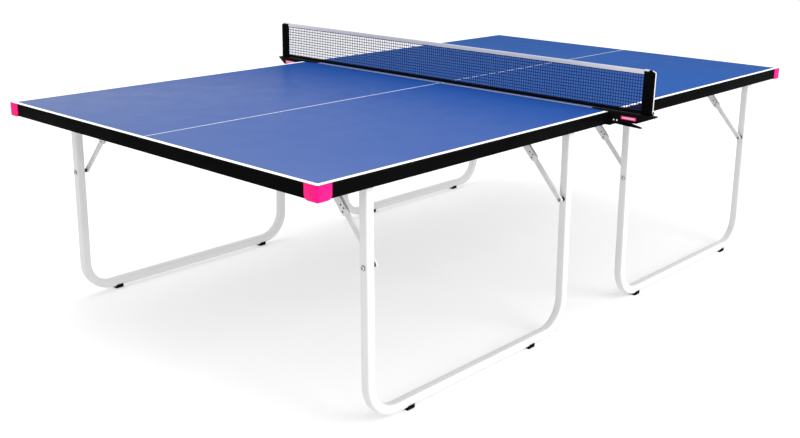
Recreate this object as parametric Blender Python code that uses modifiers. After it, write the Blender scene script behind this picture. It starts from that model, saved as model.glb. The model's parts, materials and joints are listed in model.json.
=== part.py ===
"""Folding table-tennis table: two free-standing halves on folding U legs, with a clip-on net set.

The origin is on the floor under the middle of the net. +X runs along the table, +Y across it, +Z up.
The near half is on the -X side and the far half on the +X side. Front is -Y and back is +Y.
"""
from math import cos, pi, radians, sin, tan

import bmesh
import bpy
from mathutils import Matrix

# ---------------------------------------------------------------- driving dimensions, metres
TABLE_LENGTH = 2.740
TABLE_WIDTH = 1.525
TABLE_HEIGHT = 0.760
GAP = 0.0003                    # clearance between pieces that touch

TOP_THICKNESS = 0.004
HALF_PARTING = 0.0005           # each half stops this far short of the middle of the table
APRON_HEIGHT = 0.038
APRON_THICKNESS = 0.018
APRON_INSET = 0.001             # apron's outer face behind the edge of the top
APRON_NOSE = 0.010              # rounding under the net end of each frame

HINGE_Y = 0.719                 # leg hinge axis, from the table's centre plane
HINGE_Z = 0.714
LEG_LEAN = radians(1.2)         # the open legs lean this far out at the floor
LEG_END_X = 1.1526              # upright near the end line
LEG_NET_X = 0.1937              # upright near the net
TUBE = 0.030                    # square leg tube
TUBE_ROUNDING = 0.0045
BEND_RADIUS = 0.105             # leg bend, on the tube's centre line
BAR_CLEARANCE = 0.010           # floor to the underside of the leg's bar
FOOT_LENGTH = 0.031
FOOT_SOLE = 0.028               # narrower than the foot's walls
FOOT_FLARE = 0.005              # up to here its sides slope outward
FOOT_WIDTH = 0.0355
FOOT_HEIGHT = 0.015
FOOT_SEAT = 0.0093              # the bar sits in a channel this high above the floor
FOOT_CHANNEL = 0.0309
FOOT_CORNER = 0.0045
FOOT_INSET = {"end": 0.130, "net": 0.116}              # from the upright
FOOT_INSET_WIDE = {"end": 0.164, "net": 0.187}         # on the legs whose feet sit further in
WIDE_LEGS = ("near_front", "far_back")

BRACE_DROP = 0.232              # leg hinge to brace bolt, along the leg
BRACE_ANGLE = radians(42.0)     # open brace, from the vertical
LOWER_WIDTH = 0.017
LOWER_THICKNESS = 0.008
UPPER_WIDTH = 0.024
CHEEK = 0.0025
WEB = 0.0018
WEB_LENGTH = 0.088              # down the upper link, clear of the lower link as they fold
PIVOT_RADIUS = 0.004
PIVOT_HOLE = 0.0043
BUSHING_RADIUS = 0.008          # on the brace bolt, against the upright
BUSHING_LENGTH = 0.005
SLEEVE_RADIUS = 0.0055          # from the bushing to the lower link
BOLT_HEAD_RADIUS = 0.0065
BOLT_HEAD = 0.003
BOLT_CHAMFER = 0.0011
NUT_RADIUS = 0.0080
NUT_LENGTH = 0.005

# layers of the brace, measured inward from the middle of the upright
LOWER_LAYER = 0.0314            # middle of the lower link, and of the slot in the upper link
CHEEK_OFFSET = 0.00555          # from there to the middle of each cheek of the upper link
EAR_OFFSET = 0.0093             # and to the middle of each brace ear
EAR = 0.003
HINGE_EAR_LAYER = -0.0175       # the leg hinge's ear is on the upright's other side

MEMBER_OUT = 0.020              # cross member, from the upright's middle outward and inward
MEMBER_IN = 0.044
MEMBER_BOTTOM = 0.7385

CAP_WIDTH = 0.0485
CAP_WALL = 0.002
CAP_BOTTOM = 0.7137
CAP_TOP = 0.7594                # a thin lip covers the corner of the top's edge
CAP_FLOOR = 0.0037
CAP_ROUNDING = 0.017

NET_LENGTH = 1.830              # over the posts
NET_HEIGHT = 0.1525
NET_THICKNESS = 0.002
NET_BOTTOM = 0.7640
TOP_TAPE = 0.015
TOP_TAPE_THICKNESS = 0.0036
BOTTOM_TAPE = 0.012
BOTTOM_TAPE_THICKNESS = 0.0030
POST_WIDTH = 0.040
POST_THICKNESS = 0.008
POST_ROUNDING = 0.002
POST_CORNER = 0.003
POST_TOP = 0.9128
POST_SLOPE = 0.0065             # the top drops by this to its outer side
POST_SLOPE_RUN = 0.018

JAW_TIP_Y = 0.690               # clamp's upper jaw
JAW_END_Y = 0.932
JAW_TAPER_Y = 0.880             # the plate narrows from here to its outer end
JAW_PLATE = 0.0025
JAW_HALF_WIDTH = 0.025
JAW_TIP_HALF_WIDTH = 0.012
JAW_END_HALF_WIDTH = 0.010
FLANGE_START_Y = 0.7645
FLANGE_LOW_Z = 0.7285
FLANGE_VERTEX_Y = 0.874         # the lower edge turns up to the outer end here
FLANGE_VERTEX_Z = 0.7345
FLANGE_END_DROP = 0.0015
FLANGE = 0.0025
CLAMP_PIN_Y = 0.779
CLAMP_PIN_Z = 0.7345
CLAMP_PIN_RADIUS = 0.003
CLAMP_PIN_HOLE = 0.0033
LEVER_HALF_WIDTH = 0.0215
LEVER_TIP_Y = 0.700
LEVER_TAPER_Y = 0.805           # the handle narrows from here to its rounded end
LEVER_END_Y = 0.881
LEVER_END_RADIUS = 0.008
LEVER_END_Z = 0.7180            # top of the handle's end
LEVER_SHELF = 0.0045            # the lever's plate passes this far below the pin
LEVER_PLATE = 0.0030
LUG = 0.0025
LUG_RADIUS = 0.007

CORD_RADIUS = 0.0015            # tension cord down the front post
CORD_LOW = 0.7700
CORD_BEND = 0.004
CORD_START = 0.012              # the cord starts this far inward of the post's outer side

ROUND_STEPS = 12                # round a rod or a turned piece
BEND_STEPS = 8                  # round a quarter bend

# ---------------------------------------------------------------- values worked out from them
FRAME_TOP = TABLE_HEIGHT - TOP_THICKNESS - GAP
FRAME_BOTTOM = FRAME_TOP - APRON_HEIGHT
APRON_X = TABLE_LENGTH / 2 - APRON_INSET
APRON_Y = TABLE_WIDTH / 2 - APRON_INSET
LEG_MIDDLE_X = (LEG_END_X + LEG_NET_X) / 2
LEG_WIDTH = LEG_END_X - LEG_NET_X
LEG_DEPTH = (HINGE_Z - BAR_CLEARANCE - TUBE / 2) / cos(LEG_LEAN)
FOOT_Y = HINGE_Y + (HINGE_Z - BAR_CLEARANCE) * tan(LEG_LEAN)

BOLT_Y = HINGE_Y + BRACE_DROP * sin(LEG_LEAN)
BOLT_Z = HINGE_Z - BRACE_DROP * cos(LEG_LEAN)
BRACE_LENGTH = (HINGE_Z - BOLT_Z) / cos(BRACE_ANGLE)
BRACE_INSET = HINGE_Y - BOLT_Y + BRACE_LENGTH * sin(BRACE_ANGLE)   # leg hinge to brace ear
EAR_Y = HINGE_Y - BRACE_INSET
LOWER_LENGTH = (BRACE_LENGTH + BRACE_DROP - BRACE_INSET) / 2       # folds flat beside the upper link
UPPER_LENGTH = BRACE_LENGTH - LOWER_LENGTH

COLLECTION = "folding_table_tennis_table"


# ---------------------------------------------------------------- scene and materials
def clear_scene():
    """Remove every object, mesh, curve and material."""
    for obj in list(bpy.data.objects):
        bpy.data.objects.remove(obj, do_unlink=True)
    for block in (bpy.data.meshes, bpy.data.curves, bpy.data.materials):
        for item in list(block):
            block.remove(item)


def material(name, colour, roughness, metallic=0.0):
    """A Principled material, made once for each name."""
    if name in bpy.data.materials:
        return bpy.data.materials[name]
    mat = bpy.data.materials.new(name)
    mat.use_nodes = True
    shader = mat.node_tree.nodes["Principled BSDF"]
    shader.inputs["Base Color"].default_value = (*colour, 1.0)
    shader.inputs["Roughness"].default_value = roughness
    shader.inputs["Metallic"].default_value = metallic
    return mat


def top_blue():
    return material("top_blue", (0.10, 0.19, 0.52), 0.45)


def apron_black():
    return material("apron_black", (0.012, 0.012, 0.013), 0.40)


def leg_silver():
    return material("leg_silver", (0.70, 0.71, 0.73), 0.38, 0.30)


def link_zinc():
    return material("link_zinc", (0.60, 0.61, 0.62), 0.36, 0.65)


def foot_rubber():
    return material("foot_rubber", (0.010, 0.010, 0.010), 0.70)


def cap_pink():
    return material("cap_pink", (0.90, 0.02, 0.24), 0.38)


def clamp_black():
    return material("clamp_black", (0.012, 0.012, 0.013), 0.38)


def net_cord():
    return material("net_cord", (0.020, 0.025, 0.070), 0.80)


def tape_white():
    return material("tape_white", (0.86, 0.85, 0.86), 0.75)


def tape_black():
    return material("tape_black", (0.012, 0.012, 0.014), 0.80)


def bolt_black():
    return material("bolt_black", (0.030, 0.030, 0.030), 0.45, 0.30)


# ---------------------------------------------------------------- shape helpers
def table_collection():
    """The collection that holds the table's pieces."""
    if COLLECTION not in bpy.data.collections:
        group = bpy.data.collections.new(COLLECTION)
        bpy.context.scene.collection.children.link(group)
    return bpy.data.collections[COLLECTION]


def place(name, mesh, paint, location, rotation=(0.0, 0.0, 0.0)):
    """Put a mesh in the scene as the named piece."""
    obj = bpy.data.objects.new(name, mesh)
    table_collection().objects.link(obj)
    if not mesh.materials:
        mesh.materials.append(paint)
    obj.location = location
    obj.rotation_euler = rotation
    return obj


def box_mesh(low, high, bevel=0.0, segments=2):
    """A box between two corners, with its edges rounded if bevel is given."""
    mesh = bpy.data.meshes.new("box")
    bm = bmesh.new()
    bmesh.ops.create_cube(bm, size=1.0)
    size = [b - a for a, b in zip(low, high)]
    middle = [(a + b) / 2 for a, b in zip(low, high)]
    bmesh.ops.scale(bm, vec=size, verts=bm.verts)
    bmesh.ops.translate(bm, vec=middle, verts=bm.verts)
    if bevel:
        bmesh.ops.bevel(bm, geom=list(bm.edges), offset=bevel, segments=segments,
                        profile=0.5, affect="EDGES", clamp_overlap=True)
    bm.to_mesh(mesh)
    bm.free()
    return mesh


def rod_mesh(radius, start, end):
    """A round rod along X, as (x, y, z) start and an end x."""
    mesh = bpy.data.meshes.new("rod")
    bm = bmesh.new()
    length = abs(end - start[0])
    turn = Matrix.Rotation(pi / 2, 4, "Y")
    shift = Matrix.Translation(((start[0] + end) / 2, start[1], start[2]))
    bmesh.ops.create_cone(bm, cap_ends=True, segments=ROUND_STEPS, radius1=radius, radius2=radius,
                          depth=length, matrix=shift @ turn)
    bm.to_mesh(mesh)
    bm.free()
    return mesh


def arc(centre, radius, start, end, steps):
    """Points of an arc about centre, both ends included, angles in degrees."""
    points = []
    for i in range(steps + 1):
        angle = radians(start + (end - start) * i / steps)
        points.append((centre[0] + radius * cos(angle), centre[1] + radius * sin(angle)))
    return points


PLANES = {
    "X": Matrix(((0, 0, 1), (1, 0, 0), (0, 1, 0))).to_4x4(),    # outline drawn in Y and Z
    "Y": Matrix(((1, 0, 0), (0, 0, -1), (0, 1, 0))).to_4x4(),   # outline drawn in X and Z
    "Z": Matrix.Identity(4),                                    # outline drawn in X and Y
}


def plate_mesh(loops, thickness, normal, middle=0.0, rounding=0.0):
    """A flat outline with holes, extruded about middle along its normal axis."""
    curve = bpy.data.curves.new("outline", "CURVE")
    curve.dimensions = "2D"
    curve.fill_mode = "BOTH"
    curve.extrude = thickness / 2 - rounding
    curve.bevel_depth = rounding
    curve.bevel_resolution = 1
    curve.offset = -rounding
    for loop in loops:
        spline = curve.splines.new("POLY")
        spline.points.add(len(loop) - 1)
        for point, (p, q) in zip(spline.points, loop):
            point.co = (p, q, 0.0, 1.0)
        spline.use_cyclic_u = True
    holder = bpy.data.objects.new("outline", curve)
    bpy.context.scene.collection.objects.link(holder)
    graph = bpy.context.evaluated_depsgraph_get()
    mesh = bpy.data.meshes.new_from_object(holder.evaluated_get(graph))
    bpy.data.objects.remove(holder, do_unlink=True)
    bpy.data.curves.remove(curve)
    shift = Matrix.Translation([middle if axis == normal else 0.0 for axis in "XYZ"])
    mesh.transform(shift @ PLANES[normal])
    mesh.materials.clear()
    tidy(mesh)
    return mesh


def tidy(mesh):
    """Weld the mesh, melt its flat faces and point them outward."""
    bm = bmesh.new()
    bm.from_mesh(mesh)
    bmesh.ops.remove_doubles(bm, verts=bm.verts, dist=0.00001)
    bmesh.ops.dissolve_degenerate(bm, edges=bm.edges, dist=0.000005)
    bmesh.ops.recalc_face_normals(bm, faces=bm.faces)
    bm.to_mesh(mesh)
    bm.free()


def combine(base, steps):
    """Apply Boolean steps to a mesh: (operation, mesh) pairs, in order."""
    cutters = bpy.data.collections.new("cutters")
    bpy.context.scene.collection.children.link(cutters)
    body = bpy.data.objects.new("body", base)
    bpy.context.scene.collection.objects.link(body)
    for operation, mesh in steps:
        cutter = bpy.data.objects.new("cutter", mesh)
        cutter.hide_render = True
        cutter.display_type = "WIRE"
        cutters.objects.link(cutter)
        cut = body.modifiers.new("cut", "BOOLEAN")
        cut.operation = operation
        cut.solver = "EXACT"
        cut.object = cutter
    graph = bpy.context.evaluated_depsgraph_get()
    result = bpy.data.meshes.new_from_object(body.evaluated_get(graph))
    bpy.data.objects.remove(body, do_unlink=True)
    for cutter in list(cutters.objects):
        bpy.data.objects.remove(cutter, do_unlink=True)
    bpy.data.collections.remove(cutters)
    tidy(result)
    return result


def smooth(mesh, degrees=35.0):
    """Shade a rounded piece smooth, keeping its real corners."""
    mesh.shade_smooth()
    mesh.set_sharp_from_angle(angle=radians(degrees))
    return mesh


def cord_mesh(points, radius):
    """A round cord along a line of points, its ends closed."""
    curve = bpy.data.curves.new("cord", "CURVE")
    curve.dimensions = "3D"
    curve.bevel_depth = radius
    curve.bevel_resolution = 2
    curve.use_fill_caps = True
    spline = curve.splines.new("POLY")
    spline.points.add(len(points) - 1)
    for point, place_at in zip(spline.points, points):
        point.co = (*place_at, 1.0)
    holder = bpy.data.objects.new("cord", curve)
    bpy.context.scene.collection.objects.link(holder)
    graph = bpy.context.evaluated_depsgraph_get()
    mesh = bpy.data.meshes.new_from_object(holder.evaluated_get(graph))
    bpy.data.objects.remove(holder, do_unlink=True)
    bpy.data.curves.remove(curve)
    mesh.materials.clear()
    tidy(mesh)
    return mesh


def turned_mesh(profile):
    """A solid turned about Z from (radius, height) points that run top to bottom."""
    mesh = bpy.data.meshes.new("profile")
    bm = bmesh.new()
    verts = [bm.verts.new((radius, 0.0, height)) for radius, height in profile]
    for first, second in zip(verts, verts[1:]):
        bm.edges.new((first, second))
    bm.to_mesh(mesh)
    bm.free()
    holder = bpy.data.objects.new("profile", mesh)
    bpy.context.scene.collection.objects.link(holder)
    screw = holder.modifiers.new("turn", "SCREW")
    screw.axis = "Z"
    screw.steps = ROUND_STEPS
    screw.render_steps = ROUND_STEPS
    screw.use_merge_vertices = True
    screw.merge_threshold = 0.00005
    graph = bpy.context.evaluated_depsgraph_get()
    result = bpy.data.meshes.new_from_object(holder.evaluated_get(graph))
    bpy.data.objects.remove(holder, do_unlink=True)
    tidy(result)
    return result


# ---------------------------------------------------------------- the two halves
def top_mesh():
    """Playing surface of the near half: a thin flat sheet."""
    low = (-TABLE_LENGTH / 2, -TABLE_WIDTH / 2, TABLE_HEIGHT - TOP_THICKNESS)
    high = (-HALF_PARTING, TABLE_WIDTH / 2, TABLE_HEIGHT)
    return box_mesh(low, high)


def frame_mesh():
    """Welded apron ring under the near half's top, its net end rounded underneath."""
    net_x = -HALF_PARTING - APRON_INSET
    outer = [(-APRON_X, -APRON_Y), (net_x, -APRON_Y), (net_x, APRON_Y), (-APRON_X, APRON_Y)]
    left = -APRON_X + APRON_THICKNESS
    right = net_x - APRON_THICKNESS
    side = APRON_Y - APRON_THICKNESS
    inner = [(left, -side), (left, side), (right, side), (right, -side)]
    mesh = plate_mesh([outer, inner], APRON_HEIGHT, "Z", FRAME_BOTTOM + APRON_HEIGHT / 2)
    bm = bmesh.new()
    bm.from_mesh(mesh)
    under = [v for v in bm.verts if abs(v.co.x - net_x) < GAP and abs(v.co.z - FRAME_BOTTOM) < GAP]
    nose = [e for e in bm.edges if all(v in under for v in e.verts)]
    bmesh.ops.bevel(bm, geom=nose, offset=APRON_NOSE, segments=4, profile=0.5, affect="EDGES")
    bm.to_mesh(mesh)
    bm.free()
    tidy(mesh)
    return mesh


def ear_outline(y, radius, root):
    """A hanging ear: straight sides down from root, round about the hinge height at y."""
    bottom = arc((y, HINGE_Z), radius, 180, 360, 6)
    return [(y + radius, root), (y - radius, root)] + bottom


def member_mesh():
    """Cross member over one upright of each leg, with hanging ears and pivot studs."""
    top = FRAME_TOP - GAP
    side = APRON_Y - APRON_THICKNESS - 0.0005
    rail = box_mesh((-MEMBER_OUT, -side, MEMBER_BOTTOM), (MEMBER_IN, side, top))
    root = (MEMBER_BOTTOM + top) / 2
    steps = []
    for sign in (-1, 1):
        hinge_y = sign * HINGE_Y
        ear_y = sign * EAR_Y
        ears = [
            (hinge_y, 0.0125, HINGE_EAR_LAYER),
            (ear_y, 0.0110, LOWER_LAYER - EAR_OFFSET),
            (ear_y, 0.0110, LOWER_LAYER + EAR_OFFSET),
        ]
        for y, radius, layer in ears:
            steps.append(("UNION", plate_mesh([ear_outline(y, radius, root)], EAR, "X", layer)))
        inner_face = CHEEK_OFFSET - CHEEK / 2
        studs = [
            (hinge_y, HINGE_EAR_LAYER, TUBE / 2),
            (ear_y, LOWER_LAYER - EAR_OFFSET, LOWER_LAYER - inner_face),
            (ear_y, LOWER_LAYER + EAR_OFFSET, LOWER_LAYER + inner_face),
        ]
        for y, start, end in studs:
            steps.append(("UNION", rod_mesh(PIVOT_RADIUS, (start, y, HINGE_Z), end)))
    return combine(rail, steps)


def cap_mesh():
    """Moulded corner cap: a rounded cup that wraps the frame's corner, here the one at -X -Y.

    Its origin is the apron's corner, and the cup opens toward +X, +Y and up.
    """
    out = CAP_WALL + GAP
    rebate = -APRON_INSET - GAP
    outline = arc((CAP_WIDTH - CAP_ROUNDING, CAP_BOTTOM + CAP_ROUNDING), CAP_ROUNDING, -90, 0, 6)
    outline += [(CAP_WIDTH, CAP_TOP), (-out, CAP_TOP)]
    outline += arc((-out + 0.004, CAP_BOTTOM + 0.004), 0.004, 180, 270, 3)
    depth = CAP_WIDTH + out
    middle = (CAP_WIDTH - out) / 2
    shape = plate_mesh([outline], depth, "Y", middle)
    across = plate_mesh([outline], depth, "X", middle)
    corner = arc((-out + 0.006, -out + 0.006), 0.006, 180, 270, 4)
    plan = corner + [(1.0, -out), (1.0, 1.0), (-out, 1.0)]
    rounded = plate_mesh([plan], TABLE_HEIGHT, "Z", TABLE_HEIGHT)
    hollow = box_mesh((-GAP, -GAP, CAP_BOTTOM + CAP_FLOOR), (1.0, 1.0, TABLE_HEIGHT))
    edge = box_mesh((rebate, rebate, FRAME_TOP - GAP), (1.0, 1.0, TABLE_HEIGHT))
    steps = [("INTERSECT", across), ("INTERSECT", rounded), ("DIFFERENCE", hollow), ("DIFFERENCE", edge)]
    return combine(shape, steps)


def add_halves():
    """Tops, frames, cross members and corner caps of both halves."""
    shared_top = top_mesh()
    shared_frame = frame_mesh()
    shared_member = member_mesh()
    shared_cap = smooth(cap_mesh(), 40.0)
    for half, turn in (("near", 0.0), ("far", pi)):
        place(half + "_top", shared_top, top_blue(), (0, 0, 0), (0, 0, turn))
        place(half + "_frame", shared_frame, apron_black(), (0, 0, 0), (0, 0, turn))
    for half, sign in (("near", -1), ("far", 1)):
        end_turn = 0.0 if half == "near" else pi
        place(half + "_cross_member_end", shared_member, leg_silver(),
              (sign * LEG_END_X, 0, 0), (0, 0, end_turn))
        place(half + "_cross_member_net", shared_member, leg_silver(),
              (sign * LEG_NET_X, 0, 0), (0, 0, end_turn + pi))
    corners = [("near", "front", -1, -1, 0), ("far", "front", 1, -1, 1),
               ("far", "back", 1, 1, 2), ("near", "back", -1, 1, 3)]
    for half, side, x_sign, y_sign, quarter in corners:
        place("corner_cap_" + half + "_" + side, shared_cap, cap_pink(),
              (x_sign * APRON_X, y_sign * APRON_Y, 0), (0, 0, quarter * pi / 2))


# ---------------------------------------------------------------- folding legs
def leg_mesh():
    """U leg about its hinge axis: two uprights and a bar, bent from one square tube."""
    half = LEG_WIDTH / 2
    wall = TUBE / 2
    crown = TUBE
    centre_x = half - BEND_RADIUS
    centre_z = -LEG_DEPTH + BEND_RADIUS
    outer = BEND_RADIUS + wall
    inner = BEND_RADIUS - wall
    outline = [(-half - wall, crown)]
    outline += arc((-centre_x, centre_z), outer, 180, 270, BEND_STEPS)
    outline += arc((centre_x, centre_z), outer, 270, 360, BEND_STEPS)
    outline += [(half + wall, crown), (half - wall, crown)]
    outline += arc((centre_x, centre_z), inner, 360, 270, BEND_STEPS)
    outline += arc((-centre_x, centre_z), inner, 270, 180, BEND_STEPS)
    outline += [(-half + wall, crown)]
    tube = plate_mesh([outline], TUBE, "Y", 0.0, TUBE_ROUNDING)

    crown_radius = wall + 0.0002
    side = arc((0.0, 0.0), crown_radius, 0, 180, BEND_STEPS)
    side += [(-crown_radius, -HINGE_Z - TUBE), (crown_radius, -HINGE_Z - TUBE)]
    steps = [("INTERSECT", plate_mesh([side], LEG_WIDTH * 2, "X"))]
    reach = TUBE
    for x in (-half, half):
        for z in (0.0, -BRACE_DROP):
            steps.append(("DIFFERENCE", rod_mesh(PIVOT_HOLE, (x - reach, 0.0, z), x + reach)))
    return smooth(combine(tube, steps))


def foot_mesh():
    """Clip-on foot: a pad with a channel that takes the bar, its sole flat on the floor."""
    half_length = FOOT_LENGTH / 2
    half_width = FOOT_WIDTH / 2
    half_sole = FOOT_SOLE / 2
    outline = [
        (-half_sole, 0.0), (half_sole, 0.0), (half_width, FOOT_FLARE), (half_width, FOOT_HEIGHT),
        (-half_width, FOOT_HEIGHT), (-half_width, FOOT_FLARE),
    ]
    plan = []
    for quarter, (x_sign, y_sign) in enumerate(((1, 1), (-1, 1), (-1, -1), (1, -1))):
        centre = (x_sign * (half_length - FOOT_CORNER), y_sign * (half_width - FOOT_CORNER))
        plan += arc(centre, FOOT_CORNER, quarter * 90, quarter * 90 + 90, 4)
    half_channel = FOOT_CHANNEL / 2
    channel = box_mesh((-FOOT_LENGTH, -half_channel, FOOT_SEAT), (FOOT_LENGTH, half_channel, TUBE))
    steps = [("INTERSECT", plate_mesh([plan], TUBE * 2, "Z")), ("DIFFERENCE", channel)]
    return smooth(combine(plate_mesh([outline], FOOT_LENGTH * 2, "X"), steps))


def link_outline(width, length):
    """A link with round ends, from its pivot at the origin down to one at -length."""
    radius = width / 2
    return arc((0, 0), radius, 0, 180, 6) + arc((0, -length), radius, 180, 360, 6)


def pivot_loop(z):
    """A round pivot hole in a link."""
    step = 360 / ROUND_STEPS
    return arc((0.0, z), PIVOT_HOLE, 0, step - 360, ROUND_STEPS - 1)


def lower_link_mesh():
    """Lower brace link, its bolt hole at the origin and its knee end at -Z."""
    return smooth(plate_mesh([link_outline(LOWER_WIDTH, LOWER_LENGTH), pivot_loop(0.0)],
                             LOWER_THICKNESS, "X"))


def upper_link_mesh():
    """Upper brace link: two cheeks joined by a web, its ear pivot at the origin, the knee at -Z."""
    loops = [link_outline(UPPER_WIDTH, UPPER_LENGTH), pivot_loop(0.0)]
    cheek = plate_mesh(loops, CHEEK, "X", -CHEEK_OFFSET)
    other = plate_mesh(loops, CHEEK, "X", CHEEK_OFFSET)
    edge = UPPER_WIDTH / 2 - 0.0002
    reach = CHEEK_OFFSET + CHEEK / 4
    web = box_mesh((-reach, -edge, -WEB_LENGTH), (reach, -edge + WEB, 0.0))
    return smooth(combine(cheek, [("UNION", web), ("UNION", other)]))


def bolt_mesh():
    """Brace bolt with its bushing, sleeve and nut, about Z, inward from the upright's middle."""
    wall = TUBE / 2 + GAP
    bushing_end = wall + BUSHING_LENGTH
    sleeve_end = LOWER_LAYER - LOWER_THICKNESS / 2 - GAP
    head_start = LOWER_LAYER + LOWER_THICKNESS / 2 + GAP
    head_end = head_start + BOLT_HEAD
    head_edge = BOLT_HEAD_RADIUS - BOLT_CHAMFER
    nut_end = -wall - NUT_LENGTH
    nut_edge = NUT_RADIUS - BOLT_CHAMFER
    profile = [
        (0.0, head_end), (head_edge, head_end), (BOLT_HEAD_RADIUS, head_end - BOLT_CHAMFER),
        (BOLT_HEAD_RADIUS, head_start), (PIVOT_RADIUS, head_start), (PIVOT_RADIUS, sleeve_end),
        (SLEEVE_RADIUS, sleeve_end), (SLEEVE_RADIUS, bushing_end), (BUSHING_RADIUS, bushing_end),
        (BUSHING_RADIUS, wall), (PIVOT_RADIUS, wall), (PIVOT_RADIUS, -wall), (NUT_RADIUS, -wall),
        (NUT_RADIUS, nut_end + BOLT_CHAMFER), (nut_edge, nut_end), (0.0, nut_end),
    ]
    return smooth(turned_mesh(profile))


def add_leg(half, side, x_sign, y_sign, shared):
    """One U leg with its feet, brace bolts and two folding braces."""
    tag = half + "_" + side
    lean = y_sign * LEG_LEAN
    turn = 0.0 if side == "front" else pi
    place("leg_" + tag, shared["leg"], leg_silver(),
          (x_sign * LEG_MIDDLE_X, y_sign * HINGE_Y, HINGE_Z), (lean, 0, 0))
    insets = FOOT_INSET_WIDE if tag in WIDE_LEGS else FOOT_INSET
    for end, upright in (("end", LEG_END_X), ("net", LEG_NET_X)):
        inward = -x_sign if end == "end" else x_sign
        place("foot_" + tag + "_" + end, shared["foot"], foot_rubber(),
              (x_sign * upright + inward * insets[end], y_sign * FOOT_Y, 0.0))
        layer = x_sign * upright + inward * LOWER_LAYER
        place("brace_bolt_" + tag + "_" + end, shared["bolt"], bolt_black(),
              (x_sign * upright, y_sign * BOLT_Y, BOLT_Z), (0, inward * pi / 2, 0))
        place("brace_lower_" + tag + "_" + end, shared["lower"], link_zinc(),
              (layer, y_sign * BOLT_Y, BOLT_Z), (pi - BRACE_ANGLE, 0, turn))
        place("brace_upper_" + tag + "_" + end, shared["upper"], link_zinc(),
              (layer, y_sign * EAR_Y, HINGE_Z), (-BRACE_ANGLE, 0, turn))


def add_legs():
    """Both legs of both halves."""
    shared = {
        "leg": leg_mesh(),
        "foot": foot_mesh(),
        "bolt": bolt_mesh(),
        "lower": lower_link_mesh(),
        "upper": upper_link_mesh(),
    }
    for half, x_sign in (("near", -1), ("far", 1)):
        for side, y_sign in (("front", -1), ("back", 1)):
            add_leg(half, side, x_sign, y_sign, shared)


# ---------------------------------------------------------------- net set
def add_net():
    """Net mesh, its two tapes and its two posts, all in the plane X = 0."""
    post_inner = NET_LENGTH / 2 - POST_WIDTH
    reach = post_inner - GAP
    net_top = TABLE_HEIGHT + NET_HEIGHT
    tape_low = net_top - TOP_TAPE
    strip_top = NET_BOTTOM + BOTTOM_TAPE
    strips = [
        ("net_mesh", NET_THICKNESS, strip_top + GAP, tape_low - GAP, net_cord()),
        ("net_top_tape", TOP_TAPE_THICKNESS, tape_low, net_top, tape_white()),
        ("net_bottom_tape", BOTTOM_TAPE_THICKNESS, NET_BOTTOM, strip_top, tape_black()),
    ]
    for name, thickness, low, high, paint in strips:
        mesh = box_mesh((-thickness / 2, -reach, low), (thickness / 2, reach, high))
        place(name, mesh, paint, (0, 0, 0))
    foot = TABLE_HEIGHT + GAP + JAW_PLATE + GAP
    half_post = POST_WIDTH / 2
    outer_top = POST_TOP - POST_SLOPE
    corner = (-half_post + POST_CORNER, outer_top - POST_CORNER)
    outline = [(-half_post, foot), (half_post, foot), (half_post, POST_TOP)]
    outline.append((-half_post + POST_SLOPE_RUN, POST_TOP))
    outline += arc(corner, POST_CORNER, 90, 180, 4)
    post = smooth(plate_mesh([outline], POST_THICKNESS, "X", 0.0, POST_ROUNDING))
    for side, y_sign, turn in (("front", -1, 0.0), ("back", 1, pi)):
        spot = (0, y_sign * (NET_LENGTH / 2 - half_post), 0)
        place("net_post_" + side, post, tape_black(), spot, (0, 0, turn))
    add_tension_cord()


def add_tension_cord():
    """Cord over the front post's sloping top, round its outer corner and down its side."""
    lift = CORD_RADIUS + GAP
    run_y = -NET_LENGTH / 2 - lift
    slope = POST_SLOPE / POST_SLOPE_RUN
    corner_z = POST_TOP - POST_SLOPE + lift
    bend = arc((run_y + CORD_BEND, corner_z - CORD_BEND), CORD_BEND, 90, 180, 5)
    route = [(0.0, run_y + CORD_START, corner_z + slope * CORD_START)]
    route += [(0.0, y, z) for y, z in bend]
    route.append((0.0, run_y, CORD_LOW))
    place("net_tension_cord", smooth(cord_mesh(route, CORD_RADIUS)), tape_white(), (0, 0, 0))


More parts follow.
